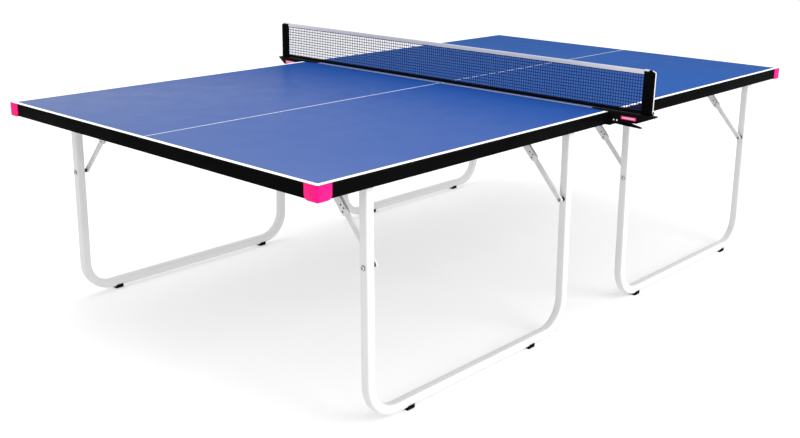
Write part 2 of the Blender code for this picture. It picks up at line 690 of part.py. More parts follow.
def clamp_mesh():
    """Fixed upper jaw of the front clamp: a tapered plate with a flange down each side."""
    bottom = TABLE_HEIGHT + GAP
    top = bottom + JAW_PLATE
    shoulder = -FLANGE_START_Y
    corner = 0.006
    right = [
        (JAW_END_HALF_WIDTH, -JAW_END_Y), (JAW_HALF_WIDTH, -JAW_TAPER_Y),
        (JAW_HALF_WIDTH, shoulder), (JAW_TIP_HALF_WIDTH, -JAW_TIP_Y),
    ]
    plan = right + [(-x, y) for x, y in reversed(right)]
    side = [
        (-JAW_END_Y - corner, top), (-JAW_END_Y - corner, bottom - FLANGE_END_DROP),
        (-JAW_END_Y, bottom - FLANGE_END_DROP), (-FLANGE_VERTEX_Y, FLANGE_VERTEX_Z),
        (-CLAMP_PIN_Y - LUG_RADIUS, FLANGE_LOW_Z), (shoulder - corner, FLANGE_LOW_Z),
        (shoulder, FLANGE_LOW_Z + corner), (shoulder, bottom), (0.0, bottom), (0.0, top),
    ]
    slant = (JAW_HALF_WIDTH - JAW_END_HALF_WIDTH) / (JAW_END_Y - JAW_TAPER_Y)
    wall = FLANGE * (1 + slant * slant) ** 0.5
    beyond = JAW_END_Y + corner
    half = JAW_HALF_WIDTH - FLANGE
    inner = [(JAW_HALF_WIDTH - wall - slant * (beyond - JAW_TAPER_Y), -beyond),
             (half, -JAW_TAPER_Y + FLANGE * slant / 2), (half, 0.0)]
    hollow = inner + [(-x, y) for x, y in reversed(inner)]
    depth = 2 * JAW_PLATE + 2 * TUBE
    steps = [
        ("INTERSECT", plate_mesh([side], JAW_HALF_WIDTH * 4, "X")),
        ("DIFFERENCE", plate_mesh([hollow], depth, "Z", bottom - depth / 2)),
        ("DIFFERENCE", rod_mesh(CLAMP_PIN_HOLE, (-JAW_HALF_WIDTH * 2, -CLAMP_PIN_Y, CLAMP_PIN_Z),
                                JAW_HALF_WIDTH * 2)),
    ]
    return combine(plate_mesh([plan], TABLE_HEIGHT / 2, "Z", TABLE_HEIGHT), steps)


def lever_mesh():
    """Sprung lower jaw of the front clamp, about its pin: one bent plate, jaw and handle."""
    pad_top = FRAME_BOTTOM - GAP - CLAMP_PIN_Z
    tip = CLAMP_PIN_Y - LEVER_TIP_Y
    end = CLAMP_PIN_Y - LEVER_END_Y
    end_top = LEVER_END_Z - CLAMP_PIN_Z
    wall = CLAMP_PIN_Y - APRON_Y - LEVER_PLATE / 2
    reach = LUG_RADIUS + LUG / 4
    side = [
        (tip, pad_top), (wall, pad_top), (wall - LEVER_PLATE / 2, -LEVER_SHELF - LEVER_PLATE / 2),
        (reach, -LEVER_SHELF), (-reach, -LEVER_SHELF), (end, end_top),
        (end, end_top - LEVER_PLATE), (-reach, -LEVER_SHELF - 2 * LEVER_PLATE),
        (reach, pad_top - LEVER_PLATE), (tip, pad_top - LEVER_PLATE),
    ]
    plate = plate_mesh([side], 4 * LEVER_HALF_WIDTH, "X")
    taper = CLAMP_PIN_Y - LEVER_TAPER_Y
    handle = arc((0.0, end + LEVER_END_RADIUS), LEVER_END_RADIUS, 180, 360, 6)
    plan = handle + [(LEVER_HALF_WIDTH, taper), (LEVER_HALF_WIDTH, 1.0),
                     (-LEVER_HALF_WIDTH, 1.0), (-LEVER_HALF_WIDTH, taper)]
    foot = -LEVER_SHELF - LEVER_PLATE / 2
    lug = arc((0, 0), LUG_RADIUS, 0, 180, 6) + [(-LUG_RADIUS, foot), (LUG_RADIUS, foot)]
    layer = LEVER_HALF_WIDTH - LUG / 2 - 0.0003
    steps = [("INTERSECT", plate_mesh([plan], TABLE_HEIGHT, "Z"))]
    steps += [("UNION", plate_mesh([lug], LUG, "X", x)) for x in (-layer, layer)]
    steps.append(("DIFFERENCE", rod_mesh(CLAMP_PIN_HOLE, (-JAW_HALF_WIDTH * 2, 0, 0), JAW_HALF_WIDTH * 2)))
    return combine(plate, steps)


def pin_mesh():
    """Headed clamp pin about Z."""
    head_low = JAW_HALF_WIDTH + GAP
    head_high = head_low + 0.0015
    radius = CLAMP_PIN_RADIUS
    profile = [
        (0.0, head_high), (0.0042, head_high), (0.0048, head_low), (radius, head_low),
        (radius, -head_low), (0.0048, -head_low), (0.0042, -head_high), (0.0, -head_high),
    ]
    return smooth(turned_mesh(profile))


def add_clamps():
    """The clip clamp at each end of the net."""
    shared_jaw = clamp_mesh()
    shared_lever = lever_mesh()
    shared_pin = pin_mesh()
    for side, y_sign, turn in (("front", -1, 0.0), ("back", 1, pi)):
        pin = (0, y_sign * CLAMP_PIN_Y, CLAMP_PIN_Z)
        place("clamp_jaw_" + side, shared_jaw, clamp_black(), (0, 0, 0), (0, 0, turn))
        place("clamp_lever_" + side, shared_lever, clamp_black(), pin, (0, 0, turn))
        place("clamp_pin_" + side, shared_pin, bolt_black(), pin, (0, pi / 2, turn))


def main():
    """Build the whole table."""
    clear_scene()
    add_halves()
    add_legs()
    add_net()
    add_clamps()


main()
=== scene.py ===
"""Looks of the folding table-tennis table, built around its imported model."""
import json
from math import cos, pi, radians, sin, tan

import bmesh
import bpy
from mathutils import Matrix, Vector


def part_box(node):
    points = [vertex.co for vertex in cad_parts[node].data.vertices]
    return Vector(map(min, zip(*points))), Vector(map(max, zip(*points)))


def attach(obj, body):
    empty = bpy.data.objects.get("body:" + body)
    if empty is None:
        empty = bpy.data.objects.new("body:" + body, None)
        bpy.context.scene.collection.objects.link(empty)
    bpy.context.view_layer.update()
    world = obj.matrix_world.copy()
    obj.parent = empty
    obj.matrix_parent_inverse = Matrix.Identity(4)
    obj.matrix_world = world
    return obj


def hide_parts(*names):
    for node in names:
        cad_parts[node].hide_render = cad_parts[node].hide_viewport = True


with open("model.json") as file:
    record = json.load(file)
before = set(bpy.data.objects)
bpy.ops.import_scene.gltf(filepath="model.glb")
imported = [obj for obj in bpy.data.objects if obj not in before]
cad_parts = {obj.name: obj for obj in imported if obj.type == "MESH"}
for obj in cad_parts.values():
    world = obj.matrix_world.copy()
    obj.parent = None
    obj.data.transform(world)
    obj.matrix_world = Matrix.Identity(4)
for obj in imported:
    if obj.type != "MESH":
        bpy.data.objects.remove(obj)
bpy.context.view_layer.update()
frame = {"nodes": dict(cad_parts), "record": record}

HALVES = (("near", -1), ("far", 1))
SIDES = (("front", -1), ("back", 1))
ENDS = ("end", "net")

# ---------------------------------------------------------------- the table's own sizes, metres
TABLE_HEIGHT = 0.760
TABLE_HALF_LENGTH = 1.370
TABLE_HALF_WIDTH = 0.7625
APRON_INSET = 0.001
FRAME_TOP = 0.7557
HINGE_Y = 0.719
HINGE_Z = 0.714
LEG_LEAN = radians(1.2)
LEG_END_X = 1.1526
LEG_NET_X = 0.1937
TUBE = 0.030
TUBE_ROUNDING = 0.0045
BEND_RADIUS = 0.105
BAR_CLEARANCE = 0.010
BRACE_DROP = 0.232
BRACE_ANGLE = radians(42.0)
LOWER_LAYER = 0.0314
CHEEK_OFFSET = 0.00555
CHEEK = 0.0025
WEB = 0.0018
WEB_LENGTH = 0.088
LOWER_WIDTH = 0.017
LOWER_THICKNESS = 0.008
UPPER_WIDTH = 0.024
PIVOT_HOLE = 0.0043
NET_LENGTH = 1.830
NET_TOP = 0.9125
NET_BOTTOM = 0.7640
TOP_TAPE = 0.015
BOTTOM_TAPE = 0.012
POST_WIDTH = 0.040
POST_THICKNESS = 0.008
POST_TOP = 0.9128
POST_SLOPE = 0.0065
POST_SLOPE_RUN = 0.018
GAP = 0.0003

LEG_DEPTH = (HINGE_Z - BAR_CLEARANCE - TUBE / 2) / cos(LEG_LEAN)
LEG_WIDTH = LEG_END_X - LEG_NET_X
LEG_MIDDLE_X = (LEG_END_X + LEG_NET_X) / 2
FOOT_Y = HINGE_Y + (HINGE_Z - BAR_CLEARANCE) * tan(LEG_LEAN)
FOOT_INSET = {"end": 0.130, "net": 0.116}
FOOT_INSET_WIDE = {"end": 0.164, "net": 0.187}
WIDE_LEGS = ("near_front", "far_back")
BOLT_Y = HINGE_Y + BRACE_DROP * sin(LEG_LEAN)
BOLT_Z = HINGE_Z - BRACE_DROP * cos(LEG_LEAN)
BRACE_LENGTH = (HINGE_Z - BOLT_Z) / cos(BRACE_ANGLE)
EAR_Y = BOLT_Y - BRACE_LENGTH * sin(BRACE_ANGLE)
LOWER_LENGTH = (BRACE_LENGTH + BRACE_DROP - HINGE_Y + EAR_Y) / 2
UPPER_LENGTH = BRACE_LENGTH - LOWER_LENGTH

# ---------------------------------------------------------------- sizes the looks add, metres
TOP_EDGE = 0.0006               # roundings of the flat-sided pieces' edges
APRON_EDGE = 0.0012
MEMBER_EDGE = 0.0004
JAW_EDGE = 0.0004
LEVER_EDGE = 0.0005
LINE_WIDTH = 0.0155             # painted edge lines
CENTRE_LINE_WIDTH = 0.003
NET_EDGE_WIDTH = 0.009          # width of the dim pale strip by the net, whose blue-grey is painted light
PAINT = 0.00012                 # how far the painted lines stand up
NET_PITCH = 0.010
STRAND = 0.0025
STRAND_EDGE = 0.0002            # half thickness of a strand at its edge and at its ridge
STRAND_RIDGE = 0.0006
KNOT = 1.45                     # how many times thicker a knot is than a strand
TOP_BAND_HALF = 0.0018          # half thickness of the net's two bands
LOW_BAND_HALF = 0.0015
STITCH_PITCH = 0.006
STITCH_LENGTH = 0.0038
STITCH_HALF_WIDTH = 0.00035
STITCH_HALF_DEPTH = 0.00022
STITCH_INSET = 0.0022           # from the top band's lower edge

CAP_OUT = 0.0023                # how far a corner cap stands out from its apron
CAP_WIDTH = 0.0485
CAP_BOTTOM = 0.7137
CAP_TOP = 0.7594
CAP_ROUNDING = 0.017            # the free lower corner of each face
CAP_EDGE = 0.004                # the bottom edges
CAP_CORNER = 0.006              # the upright edge
CAP_FLOOR = 0.0037
SCREW_RADIUS = 0.0028
SCREW_HEIGHT = 0.0010
SCREW_ACROSS = 0.0245           # a cap screw's place on its face, from the corner and the floor
SCREW_Z = 0.7350
SCREW_SEAT = 0.0024             # how far it sits out from the apron's corner

CROWN_ANGLES = (84, 72, 60, 48, 36, 24, 12, 0)   # stations that close an upright's top
CROWN_LIFT = 0.0002
BEND_STEPS = 24
FOOT_LENGTH = 0.031
FOOT_WIDTH = 0.0355
FOOT_SOLE = 0.028               # the sole's width, from which the foot flares to its full width
FOOT_FLARE = 0.005
FOOT_HEIGHT = 0.015
FOOT_CORNER = 0.0045
FOOT_HALF_CHANNEL = 0.01545     # the channel that takes the bar: half its width, and its height
FOOT_SEAT = 0.0093
WEB_INSET = 0.0003
LINK_RIVETS = ((-0.0020, -0.119), (-0.0065, -0.133), (0.0040, -0.139))   # Y and Z from the pivot
LINK_RIVET = (0.0030, 0.0013)   # radius and height

BUSHING_LENGTH = 0.005          # the bolt's collar against the upright
BUSHING_RADIUS = 0.0080
SLEEVE_RADIUS = 0.0066
STUD_RADIUS = 0.0040
WASHER_RADIUS = 0.0065
WASHER_THICKNESS = 0.0009
HEAD_ACROSS = 0.0100            # across the flats
HEAD_HEIGHT = 0.0018
NUT_WASHER_THICKNESS = 0.0013
NUT_ACROSS = 0.0118
NUT_HEIGHT = 0.0031
THREAD_RADIUS = 0.0038
THREAD_END = 0.0003
AIR = 0.0001                    # between two pieces of one bolt

JAW_PLATE = 0.0025              # the clamp plate that the post stands on
POST_ROUNDING = 0.003
POST_EDGE = 0.0016
CORD_RADIUS = 0.0015
CORD_BEND = 0.004
CORD_LEAD = 0.012               # how far in along the post's slope the cord starts
CORD_RUN_Z = (0.87, 0.84, 0.81, 0.77)
CORD_LOOP_OUT = 0.0030          # the loop's and the toggle's middle, outward from the run
CORD_LOOP_Z = 0.7730
TOGGLE_Z = 0.7716
BAND_END_REACH = 0.0185         # how far the white band's ends run over the posts
BAND_END_DROP = 0.0015

CLAMP_RIVET = (0.0027, 0.0011)  # radius and height
CLAMP_RIVETS_Y = (0.787, 0.799)
CLAMP_RIVET_Z = 0.7365
CLAMP_FLANK = 0.0250
LABEL_Y = 0.8425
LABEL_Z = 0.7480
LABEL_HALF = (0.0285, 0.0055)   # half its length and half its height
FIELD_HALF = (0.0235, 0.0030)
LABEL_LIFT = 0.02522            # the label's and its field's middle planes, from the net's line
FIELD_LIFT = 0.02545
PIN_Y = 0.779
PIN_Z = 0.7345

CAMERA_PLACE = (-3.06708, -2.57778, 1.44309)
CAMERA_YAW = radians(42.1963)   # from +X towards +Y
CAMERA_PITCH = radians(-17.1757)
CAMERA_ROLL = radians(0.7858)
CAMERA_LENS = 46.81             # millimetres, on a sensor SENSOR wide
SENSOR = 36.0

WAVE_BANDS = 3.18               # bands per metre of a wave texture at scale 1
CLOUD_BLUE = (0.020, 0.072, 0.275)
EDGE_BLACK = (0.003, 0.003, 0.0035)
UNDER_GREY = (0.34, 0.34, 0.34)
FLOOR_GREY = (0.62, 0.62, 0.62, 1.0)
WHITE = (1.0, 1.0, 1.0, 1.0)


# ---------------------------------------------------------------- node materials
def new_material(name):
    """A new Principled material, its node tree and its shader."""
    mat = bpy.data.materials.new(name)
    mat.use_nodes = True
    return mat, mat.node_tree, mat.node_tree.nodes["Principled BSDF"]


def object_coords(tree):
    """Coordinates in metres in the piece's own space."""
    return tree.nodes.new("ShaderNodeTexCoord").outputs["Object"]


def noise(tree, coords, scale, detail=3.0, roughness=0.5):
    """Fractal noise at so many cycles per metre."""
    node = tree.nodes.new("ShaderNodeTexNoise")
    node.inputs["Scale"].default_value = scale
    node.inputs["Detail"].default_value = detail
    node.inputs["Roughness"].default_value = roughness
    tree.links.new(coords, node.inputs["Vector"])
    return node.outputs["Fac"]


def spread(tree, factor, low, high, start=0.3, end=0.7):
    """A factor from start to end spread over values from low to high."""
    node = tree.nodes.new("ShaderNodeMapRange")
    node.inputs["From Min"].default_value = start
    node.inputs["From Max"].default_value = end
    node.inputs["To Min"].default_value = low
    node.inputs["To Max"].default_value = high
    tree.links.new(factor, node.inputs["Value"])
    return node.outputs["Result"]


def blend_colours(tree, factor, low, high):
    """A colour between two, each a tuple or another node's output."""
    node = tree.nodes.new("ShaderNodeMix")
    node.data_type = "RGBA"
    tree.links.new(factor, node.inputs["Factor"])
    for socket, colour in ((node.inputs[6], low), (node.inputs[7], high)):
        if isinstance(colour, tuple):
            socket.default_value = (*colour, 1.0)
        else:
            tree.links.new(colour, socket)
    return node.outputs[2]


def axis_of(tree, vector, axis):
    """One coordinate of a vector."""
    node = tree.nodes.new("ShaderNodeSeparateXYZ")
    tree.links.new(vector, node.inputs["Vector"])
    return node.outputs[axis]


def bump(tree, shader, height, distance, strength=1.0):
    """Surface relief of a real depth in metres."""
    node = tree.nodes.new("ShaderNodeBump")
    node.inputs["Strength"].default_value = strength
    node.inputs["Distance"].default_value = distance
    tree.links.new(height, node.inputs["Height"])
    tree.links.new(node.outputs["Normal"], shader.inputs["Normal"])


def surface(name, light, dark, rough, metallic=0.0, grain=600.0, depth=0.00003, cloud=3.0,
            gloss=0.5):
    """A finished surface: cloudy colour, uneven roughness and a fine grain.

    light and dark are the two ends of its colour, rough the two ends of its roughness, and
    gloss how strongly it mirrors its surroundings.
    """
    mat, tree, shader = new_material(name)
    coords = object_coords(tree)
    clouds = spread(tree, noise(tree, coords, cloud, 4.0), 0.0, 1.0)
    tree.links.new(blend_colours(tree, clouds, light, dark), shader.inputs["Base Color"])
    smear = noise(tree, coords, cloud * 7.0, 5.0, 0.6)
    tree.links.new(spread(tree, smear, rough[0], rough[1]), shader.inputs["Roughness"])
    shader.inputs["Metallic"].default_value = metallic
    shader.inputs["Specular IOR Level"].default_value = gloss
    bump(tree, shader, noise(tree, coords, grain, 2.0), depth)
    return mat


def court_paint(name, end_colour, net_colour, end_gloss, net_gloss):
    """Court paint whose gloss changes from the net towards the end line, and whose colour changes with
    it by a painted gradient of light and shade.

    The sheet's sides are black and its underside is grey.
    """
    mat, tree, shader = new_material(name)
    coords = object_coords(tree)
    along = tree.nodes.new("ShaderNodeMath")
    along.operation = "ABSOLUTE"
    tree.links.new(axis_of(tree, coords, "X"), along.inputs[0])
    # painted light: the blue's change along X from the net to the end line is a painted gradient of
    # light and shade; the same ramp also drives the gloss
    painted_light_and_gloss_ramp = spread(tree, along.outputs[0], 0.0, 1.0, 0.05, 1.30)
    paint = blend_colours(tree, painted_light_and_gloss_ramp, net_colour, end_colour)
    clouds = spread(tree, noise(tree, coords, 1.6, 4.0), 0.0, 0.12)
    paint = blend_colours(tree, clouds, paint, CLOUD_BLUE)
    geometry = tree.nodes.new("ShaderNodeNewGeometry")
    facing = spread(tree, axis_of(tree, geometry.outputs["Normal"], "Z"), 0.0, 1.0, 0.6, 0.8)
    under = spread(tree, axis_of(tree, geometry.outputs["Normal"], "Z"), 1.0, 0.0, -0.8, -0.6)
    edge = blend_colours(tree, under, EDGE_BLACK, UNDER_GREY)
    colour = blend_colours(tree, facing, edge, paint)
    tree.links.new(colour, shader.inputs["Base Color"])
    square = tree.nodes.new("ShaderNodeMath")
    square.operation = "MULTIPLY"
    tree.links.new(painted_light_and_gloss_ramp, square.inputs[0])
    tree.links.new(painted_light_and_gloss_ramp, square.inputs[1])
    gloss = tree.nodes.new("ShaderNodeMath")
    gloss.operation = "MULTIPLY"
    shine = spread(tree, square.outputs[0], net_gloss, end_gloss, 0.0, 1.0)
    tree.links.new(shine, gloss.inputs[0])
    tree.links.new(facing, gloss.inputs[1])
    tree.links.new(gloss.outputs[0], shader.inputs["Specular IOR Level"])
    smear = noise(tree, coords, 9.0, 5.0, 0.6)
    tree.links.new(spread(tree, smear, 0.42, 0.48), shader.inputs["Roughness"])
    bump(tree, shader, noise(tree, coords, 900.0, 2.0), 0.00004)
    return mat


def woven(name, light, dark, pitch, depth=0.00012, gloss=0.15, sheen=0.15):
    """Plain woven band: threads crossing at a pitch, with a little cloudy wear."""
    mat, tree, shader = new_material(name)
    coords = object_coords(tree)
    threads = []
    for axis in ("Y", "Z"):
        wave = tree.nodes.new("ShaderNodeTexWave")
        wave.bands_direction = axis
        wave.wave_profile = "SIN"
        wave.inputs["Scale"].default_value = 1.0 / (pitch * WAVE_BANDS)
        wave.inputs["Distortion"].default_value = 0.6
        wave.inputs["Detail"].default_value = 1.0
        tree.links.new(coords, wave.inputs["Vector"])
        threads.append(wave.outputs["Fac"])
    cross = tree.nodes.new("ShaderNodeMath")
    cross.operation = "MULTIPLY"
    tree.links.new(threads[0], cross.inputs[0])
    tree.links.new(threads[1], cross.inputs[1])
    weave = cross.outputs[0]
    base = blend_colours(tree, weave, dark, light)
    wear = spread(tree, noise(tree, coords, 14.0, 4.0), 0.0, 0.35)
    tree.links.new(blend_colours(tree, wear, base, dark), shader.inputs["Base Color"])
    shader.inputs["Roughness"].default_value = 0.85
    shader.inputs["Specular IOR Level"].default_value = gloss
    shader.inputs["Sheen Weight"].default_value = sheen
    bump(tree, shader, weave, depth)
    return mat


def make_materials():
    """Every material of the table: the record's slots, and further looks within them."""
    return {
        # each court blue runs from its net colour to its end colour by painted light and shade
        "top_blue": court_paint("court_blue", (0.020, 0.069, 0.261), (0.014, 0.059, 0.249),
                                0.36, 0.0),
        "far_blue": court_paint("court_blue_far", (0.019, 0.072, 0.256), (0.027, 0.082, 0.268),
                                0.001, 0.001),
        "apron_black": surface("apron_paint", (0.0016, 0.0016, 0.0018), (0.0030, 0.0030, 0.0033),
                               (0.45, 0.60), grain=700.0, gloss=0.006),
        "leg_silver": surface("leg_powder_coat", (0.675, 0.675, 0.672), (0.640, 0.640, 0.637),
                              (0.40, 0.52), 0.05, grain=900.0, depth=0.00005, cloud=5.0),
        "link_zinc": surface("link_zinc", (0.64, 0.65, 0.66), (0.55, 0.56, 0.57),
                             (0.35, 0.50), 0.15, grain=500.0, cloud=30.0),
        "foot_rubber": surface("foot_rubber", (0.003, 0.003, 0.003), (0.005, 0.005, 0.005),
                               (0.60, 0.80), grain=1200.0, depth=0.0001, cloud=20.0, gloss=0.02),
        "cap_pink": surface("cap_plastic", (0.95, 0.004, 0.20), (0.90, 0.004, 0.18),
                            (0.38, 0.48), grain=1300.0, depth=0.00005, cloud=20.0, gloss=0.08),
        "clamp_black": surface("clamp_paint", (0.0022, 0.0022, 0.0024), (0.0042, 0.0042, 0.0046),
                               (0.40, 0.55), grain=600.0, cloud=15.0, gloss=0.015),
        "net_cord": surface("net_cord", (0.009, 0.016, 0.090), (0.012, 0.022, 0.120),
                            (0.70, 0.85), grain=3000.0, depth=0.0001, cloud=40.0, gloss=0.15),
        "tape_white": woven("tape_cotton", (0.70, 0.69, 0.72), (0.58, 0.57, 0.60), 0.0011),
        "tape_black": woven("tape_black", (0.0040, 0.0040, 0.0045), (0.0020, 0.0020, 0.0024),
                            0.0011, gloss=0.03, sheen=0.02),
        "label_pink": surface("label_pink", (0.78, 0.030, 0.22), (0.70, 0.025, 0.19),
                              (0.35, 0.45), grain=900.0, depth=0.00003, cloud=40.0, gloss=0.1),
        "label_field": surface("label_field", (0.80, 0.40, 0.54), (0.74, 0.34, 0.48),
                               (0.35, 0.45), grain=900.0, depth=0.00003, cloud=90.0, gloss=0.1),
        "bolt_black": surface("bolt_black", (0.006, 0.006, 0.006), (0.010, 0.010, 0.010),
                              (0.40, 0.55), 0.0, grain=900.0, cloud=60.0, gloss=0.08),
        "bolt_zinc": surface("bolt_zinc", (0.24, 0.24, 0.23), (0.15, 0.15, 0.145),
                             (0.35, 0.50), 0.3, grain=900.0, cloud=120.0),
        "line_white": surface("line_paint", (0.86, 0.865, 0.87), (0.82, 0.825, 0.83),
                              (0.40, 0.50), grain=900.0, depth=0.00003, cloud=4.0),
        # painted light: the blue-grey of the strip along the edge by the net
        "painted_light_grey": surface("net_edge_painted_light", (0.150, 0.180, 0.320), (0.130, 0.160, 0.290),
                             (0.40, 0.50), grain=900.0, depth=0.00003, cloud=4.0, gloss=0.1),
        "post_black": surface("post_plastic", (0.0018, 0.0018, 0.0018), (0.0034, 0.0034, 0.0034),
                              (0.50, 0.65), grain=1100.0, depth=0.00006, cloud=12.0, gloss=0.005),
        "screw_steel": surface("screw_steel", (0.10, 0.10, 0.11), (0.05, 0.05, 0.055),
                               (0.30, 0.45), 0.6, grain=1500.0, cloud=200.0),
        "thread_white": surface("thread_white", (0.90, 0.89, 0.90), (0.80, 0.79, 0.81),
                                (0.70, 0.85), grain=4000.0, depth=0.0001, cloud=60.0, gloss=0.2),
    }


MATERIALS = make_materials()
SLOTS = {part["node"]: part["material_slot"] for part in frame["record"]["subparts"]}


def paint_nodes():
    """Give every CAD node the material of its slot."""
    for name, obj in frame["nodes"].items():
        obj.data.materials.clear()
        obj.data.materials.append(MATERIALS[SLOTS[name]])


# ---------------------------------------------------------------- shape helpers
def add_piece(name, mesh, slot, body, material=None, replaces=()):
    """A new piece at the frame's origin, riding on a body and standing for CAD nodes."""
    obj = bpy.data.objects.new(name, mesh)
    bpy.context.scene.collection.objects.link(obj)
    mesh.materials.clear()
    mesh.materials.append(MATERIALS[material or slot])
    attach(obj, body)
    if replaces:
        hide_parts(*replaces)
    return obj


def add_at(name, mesh, turn, slot, body, material=None, replaces=()):
    """Like add_piece, for a shared mesh drawn about its own origin and put where turn says."""
    own = mesh.copy()
    own.transform(turn)
    return add_piece(name, own, slot, body, material, replaces)


def mesh_of(bm, name="piece"):
    """Turn a bmesh into a mesh and free it."""
    mesh = bpy.data.meshes.new(name)
    bmesh.ops.recalc_face_normals(bm, faces=bm.faces)
    bm.to_mesh(mesh)
    bm.free()
    return mesh


def smooth(mesh, degrees=35.0):
    """Shade smooth, keeping the real corners."""
    mesh.shade_smooth()
    mesh.set_sharp_from_angle(angle=radians(degrees))
    return mesh


def add_box(bm, low, high):
    """Add a box between two corners to a bmesh."""
    made = bmesh.ops.create_cube(bm, size=1.0)["verts"]
    size = [b - a for a, b in zip(low, high)]
    middle = [(a + b) / 2 for a, b in zip(low, high)]
    bmesh.ops.scale(bm, vec=size, verts=made)
    bmesh.ops.translate(bm, vec=middle, verts=made)
    return made


def box_mesh(low, high, bevel=0.0, segments=2):
    """A box with rounded edges."""
    bm = bmesh.new()
    add_box(bm, low, high)
    if bevel:
        bmesh.ops.bevel(bm, geom=list(bm.edges), offset=bevel, segments=segments, profile=0.5,
                        affect="EDGES", clamp_overlap=True)
    return smooth(mesh_of(bm))


def arc(centre, radius, start, end, steps):
    """Points of an arc about centre, both ends included, angles in degrees."""
    points = []
    for i in range(steps + 1):
        angle = radians(start + (end - start) * i / steps)
        points.append((centre[0] + radius * cos(angle), centre[1] + radius * sin(angle)))
    return points


PLANES = {
    "X": Matrix(((0, 0, 1), (1, 0, 0), (0, 1, 0))).to_4x4(),    # outline drawn in Y and Z
    "Y": Matrix(((1, 0, 0), (0, 0, -1), (0, 1, 0))).to_4x4(),   # outline drawn in X and Z
    "Z": Matrix.Identity(4),                                    # outline drawn in X and Y
}


def evaluated(obj):
    """The mesh an object ends up with; the object itself is removed."""
    bpy.context.scene.collection.objects.link(obj)
    graph = bpy.context.evaluated_depsgraph_get()
    mesh = bpy.data.meshes.new_from_object(obj.evaluated_get(graph))
    bpy.data.objects.remove(obj, do_unlink=True)
    return mesh


def weld(mesh, flat=0.0):
    """Weld a mesh, melt its flat faces if asked, and point them outward."""
    bm = bmesh.new()
    bm.from_mesh(mesh)
    bmesh.ops.remove_doubles(bm, verts=bm.verts, dist=0.00001)
    if flat:
        bmesh.ops.dissolve_limit(bm, angle_limit=radians(flat), verts=bm.verts, edges=bm.edges)
    bmesh.ops.recalc_face_normals(bm, faces=bm.faces)
    bm.to_mesh(mesh)
    bm.free()
    return mesh


def plate(loops, thickness, normal, middle=0.0, rounding=0.0):
    """A flat outline with holes, extruded about middle along its normal axis, edges rounded."""
    curve = bpy.data.curves.new("outline", "CURVE")
    curve.dimensions = "2D"
    curve.fill_mode = "BOTH"
    curve.extrude = thickness / 2 - rounding
    curve.bevel_depth = rounding
    curve.bevel_resolution = 2
    curve.offset = -rounding
    for loop in loops:
        spline = curve.splines.new("POLY")
        spline.points.add(len(loop) - 1)
        for point, (p, q) in zip(spline.points, loop):
            point.co = (p, q, 0.0, 1.0)
        spline.use_cyclic_u = True
    mesh = evaluated(bpy.data.objects.new("outline", curve))
    shift = Matrix.Translation([middle if axis == normal else 0.0 for axis in "XYZ"])
    mesh.transform(shift @ PLANES[normal])
    return weld(mesh)


def combine(base, steps):
    """Apply Boolean steps to a mesh: (operation, mesh) pairs, in order."""
    body = bpy.data.objects.new("body", base)
    cutters = []
    for operation, mesh in steps:
        cutter = bpy.data.objects.new("cutter", mesh)
        bpy.context.scene.collection.objects.link(cutter)
        cutters.append(cutter)
        cut = body.modifiers.new("cut", "BOOLEAN")
        cut.operation = operation
        cut.solver = "EXACT"
        cut.object = cutter
    result = evaluated(body)
    for cutter in cutters:
        bpy.data.objects.remove(cutter, do_unlink=True)
    return weld(result)


def rounded(mesh, width, segments=2, degrees=40.0):
    """Round a mesh's real corners by a bevel and shade it smooth."""
    holder = bpy.data.objects.new("rounded", mesh)
    bevel = holder.modifiers.new("round", "BEVEL")
    bevel.width = width
    bevel.segments = segments
    bevel.limit_method = "ANGLE"
    bevel.angle_limit = radians(degrees)
    bevel.harden_normals = False
    return smooth(evaluated(holder), 50.0)


def refined(node, width, segments, body, material=None):
    """Stand in for a flat-sided CAD node by the same shape with its edges rounded."""
    source = frame["nodes"][node]
    mesh = source.data.copy()
    mesh.transform(source.matrix_world)
    weld(mesh, 0.4)
    slot = SLOTS[node]
    return add_piece(node + "_finish", rounded(mesh, width, segments), slot, body, material, (node,))


def loft(rings, closed=False):
    """A skin through rings of equally many points, its ends closed unless it is a loop."""
    bm = bmesh.new()
    made = [[bm.verts.new(p) for p in ring] for ring in rings]
    count = len(rings[0])
    pairs = list(zip(made, made[1:]))
    if closed:
        pairs.append((made[-1], made[0]))
    for first, second in pairs:
        for i in range(count):
            j = (i + 1) % count
            bm.faces.new((first[i], first[j], second[j], second[i]))
    if not closed:
        bm.faces.new(made[0])
        bm.faces.new(made[-1])
    return mesh_of(bm)


def turned(profile, steps=32):
    """A solid turned about Z from (radius, height) points, the first and last on the axis."""
    bm = bmesh.new()
    rings = []
    for radius, height in profile[1:-1]:
        ring = []
        for i in range(steps):
            angle = 2 * pi * i / steps
            ring.append(bm.verts.new((radius * cos(angle), radius * sin(angle), height)))
        rings.append(ring)
    for first, second in zip(rings, rings[1:]):
        for i in range(steps):
            j = (i + 1) % steps
            bm.faces.new((first[i], first[j], second[j], second[i]))
    for ring, end in ((rings[0], profile[0]), (rings[-1], profile[-1])):
        tip = bm.verts.new((0.0, 0.0, end[1]))
        for i in range(steps):
            bm.faces.new((ring[i], ring[(i + 1) % steps], tip))
    return smooth(mesh_of(bm))


def rod(radius, start, end, y=0.0, z=0.0, steps=24):
    """A round rod along X."""
    mesh = turned([(0.0, start), (radius, start), (radius, end), (0.0, end)], steps)
    mesh.transform(Matrix.Translation((0.0, y, z)) @ Matrix.Rotation(pi / 2, 4, "Y"))
    return mesh


def tube(points, radius, steps=12):
    """A round cord through a line of points, its ends closed."""
    rings = []
    for i, point in enumerate(points):
        before = Vector(points[max(i - 1, 0)])
        after = Vector(points[min(i + 1, len(points) - 1)])
        along = (after - before).normalized()
        upright = Vector((0.0, 1.0, 0.0)) if abs(along.y) < 0.9 else Vector((1.0, 0.0, 0.0))
        side = along.cross(upright).normalized()
        other = along.cross(side)
        ring = []
        for k in range(steps):
            angle = 2 * pi * k / steps
            ring.append(Vector(point) + radius * (cos(angle) * side + sin(angle) * other))
        rings.append(ring)
    return smooth(loft(rings))


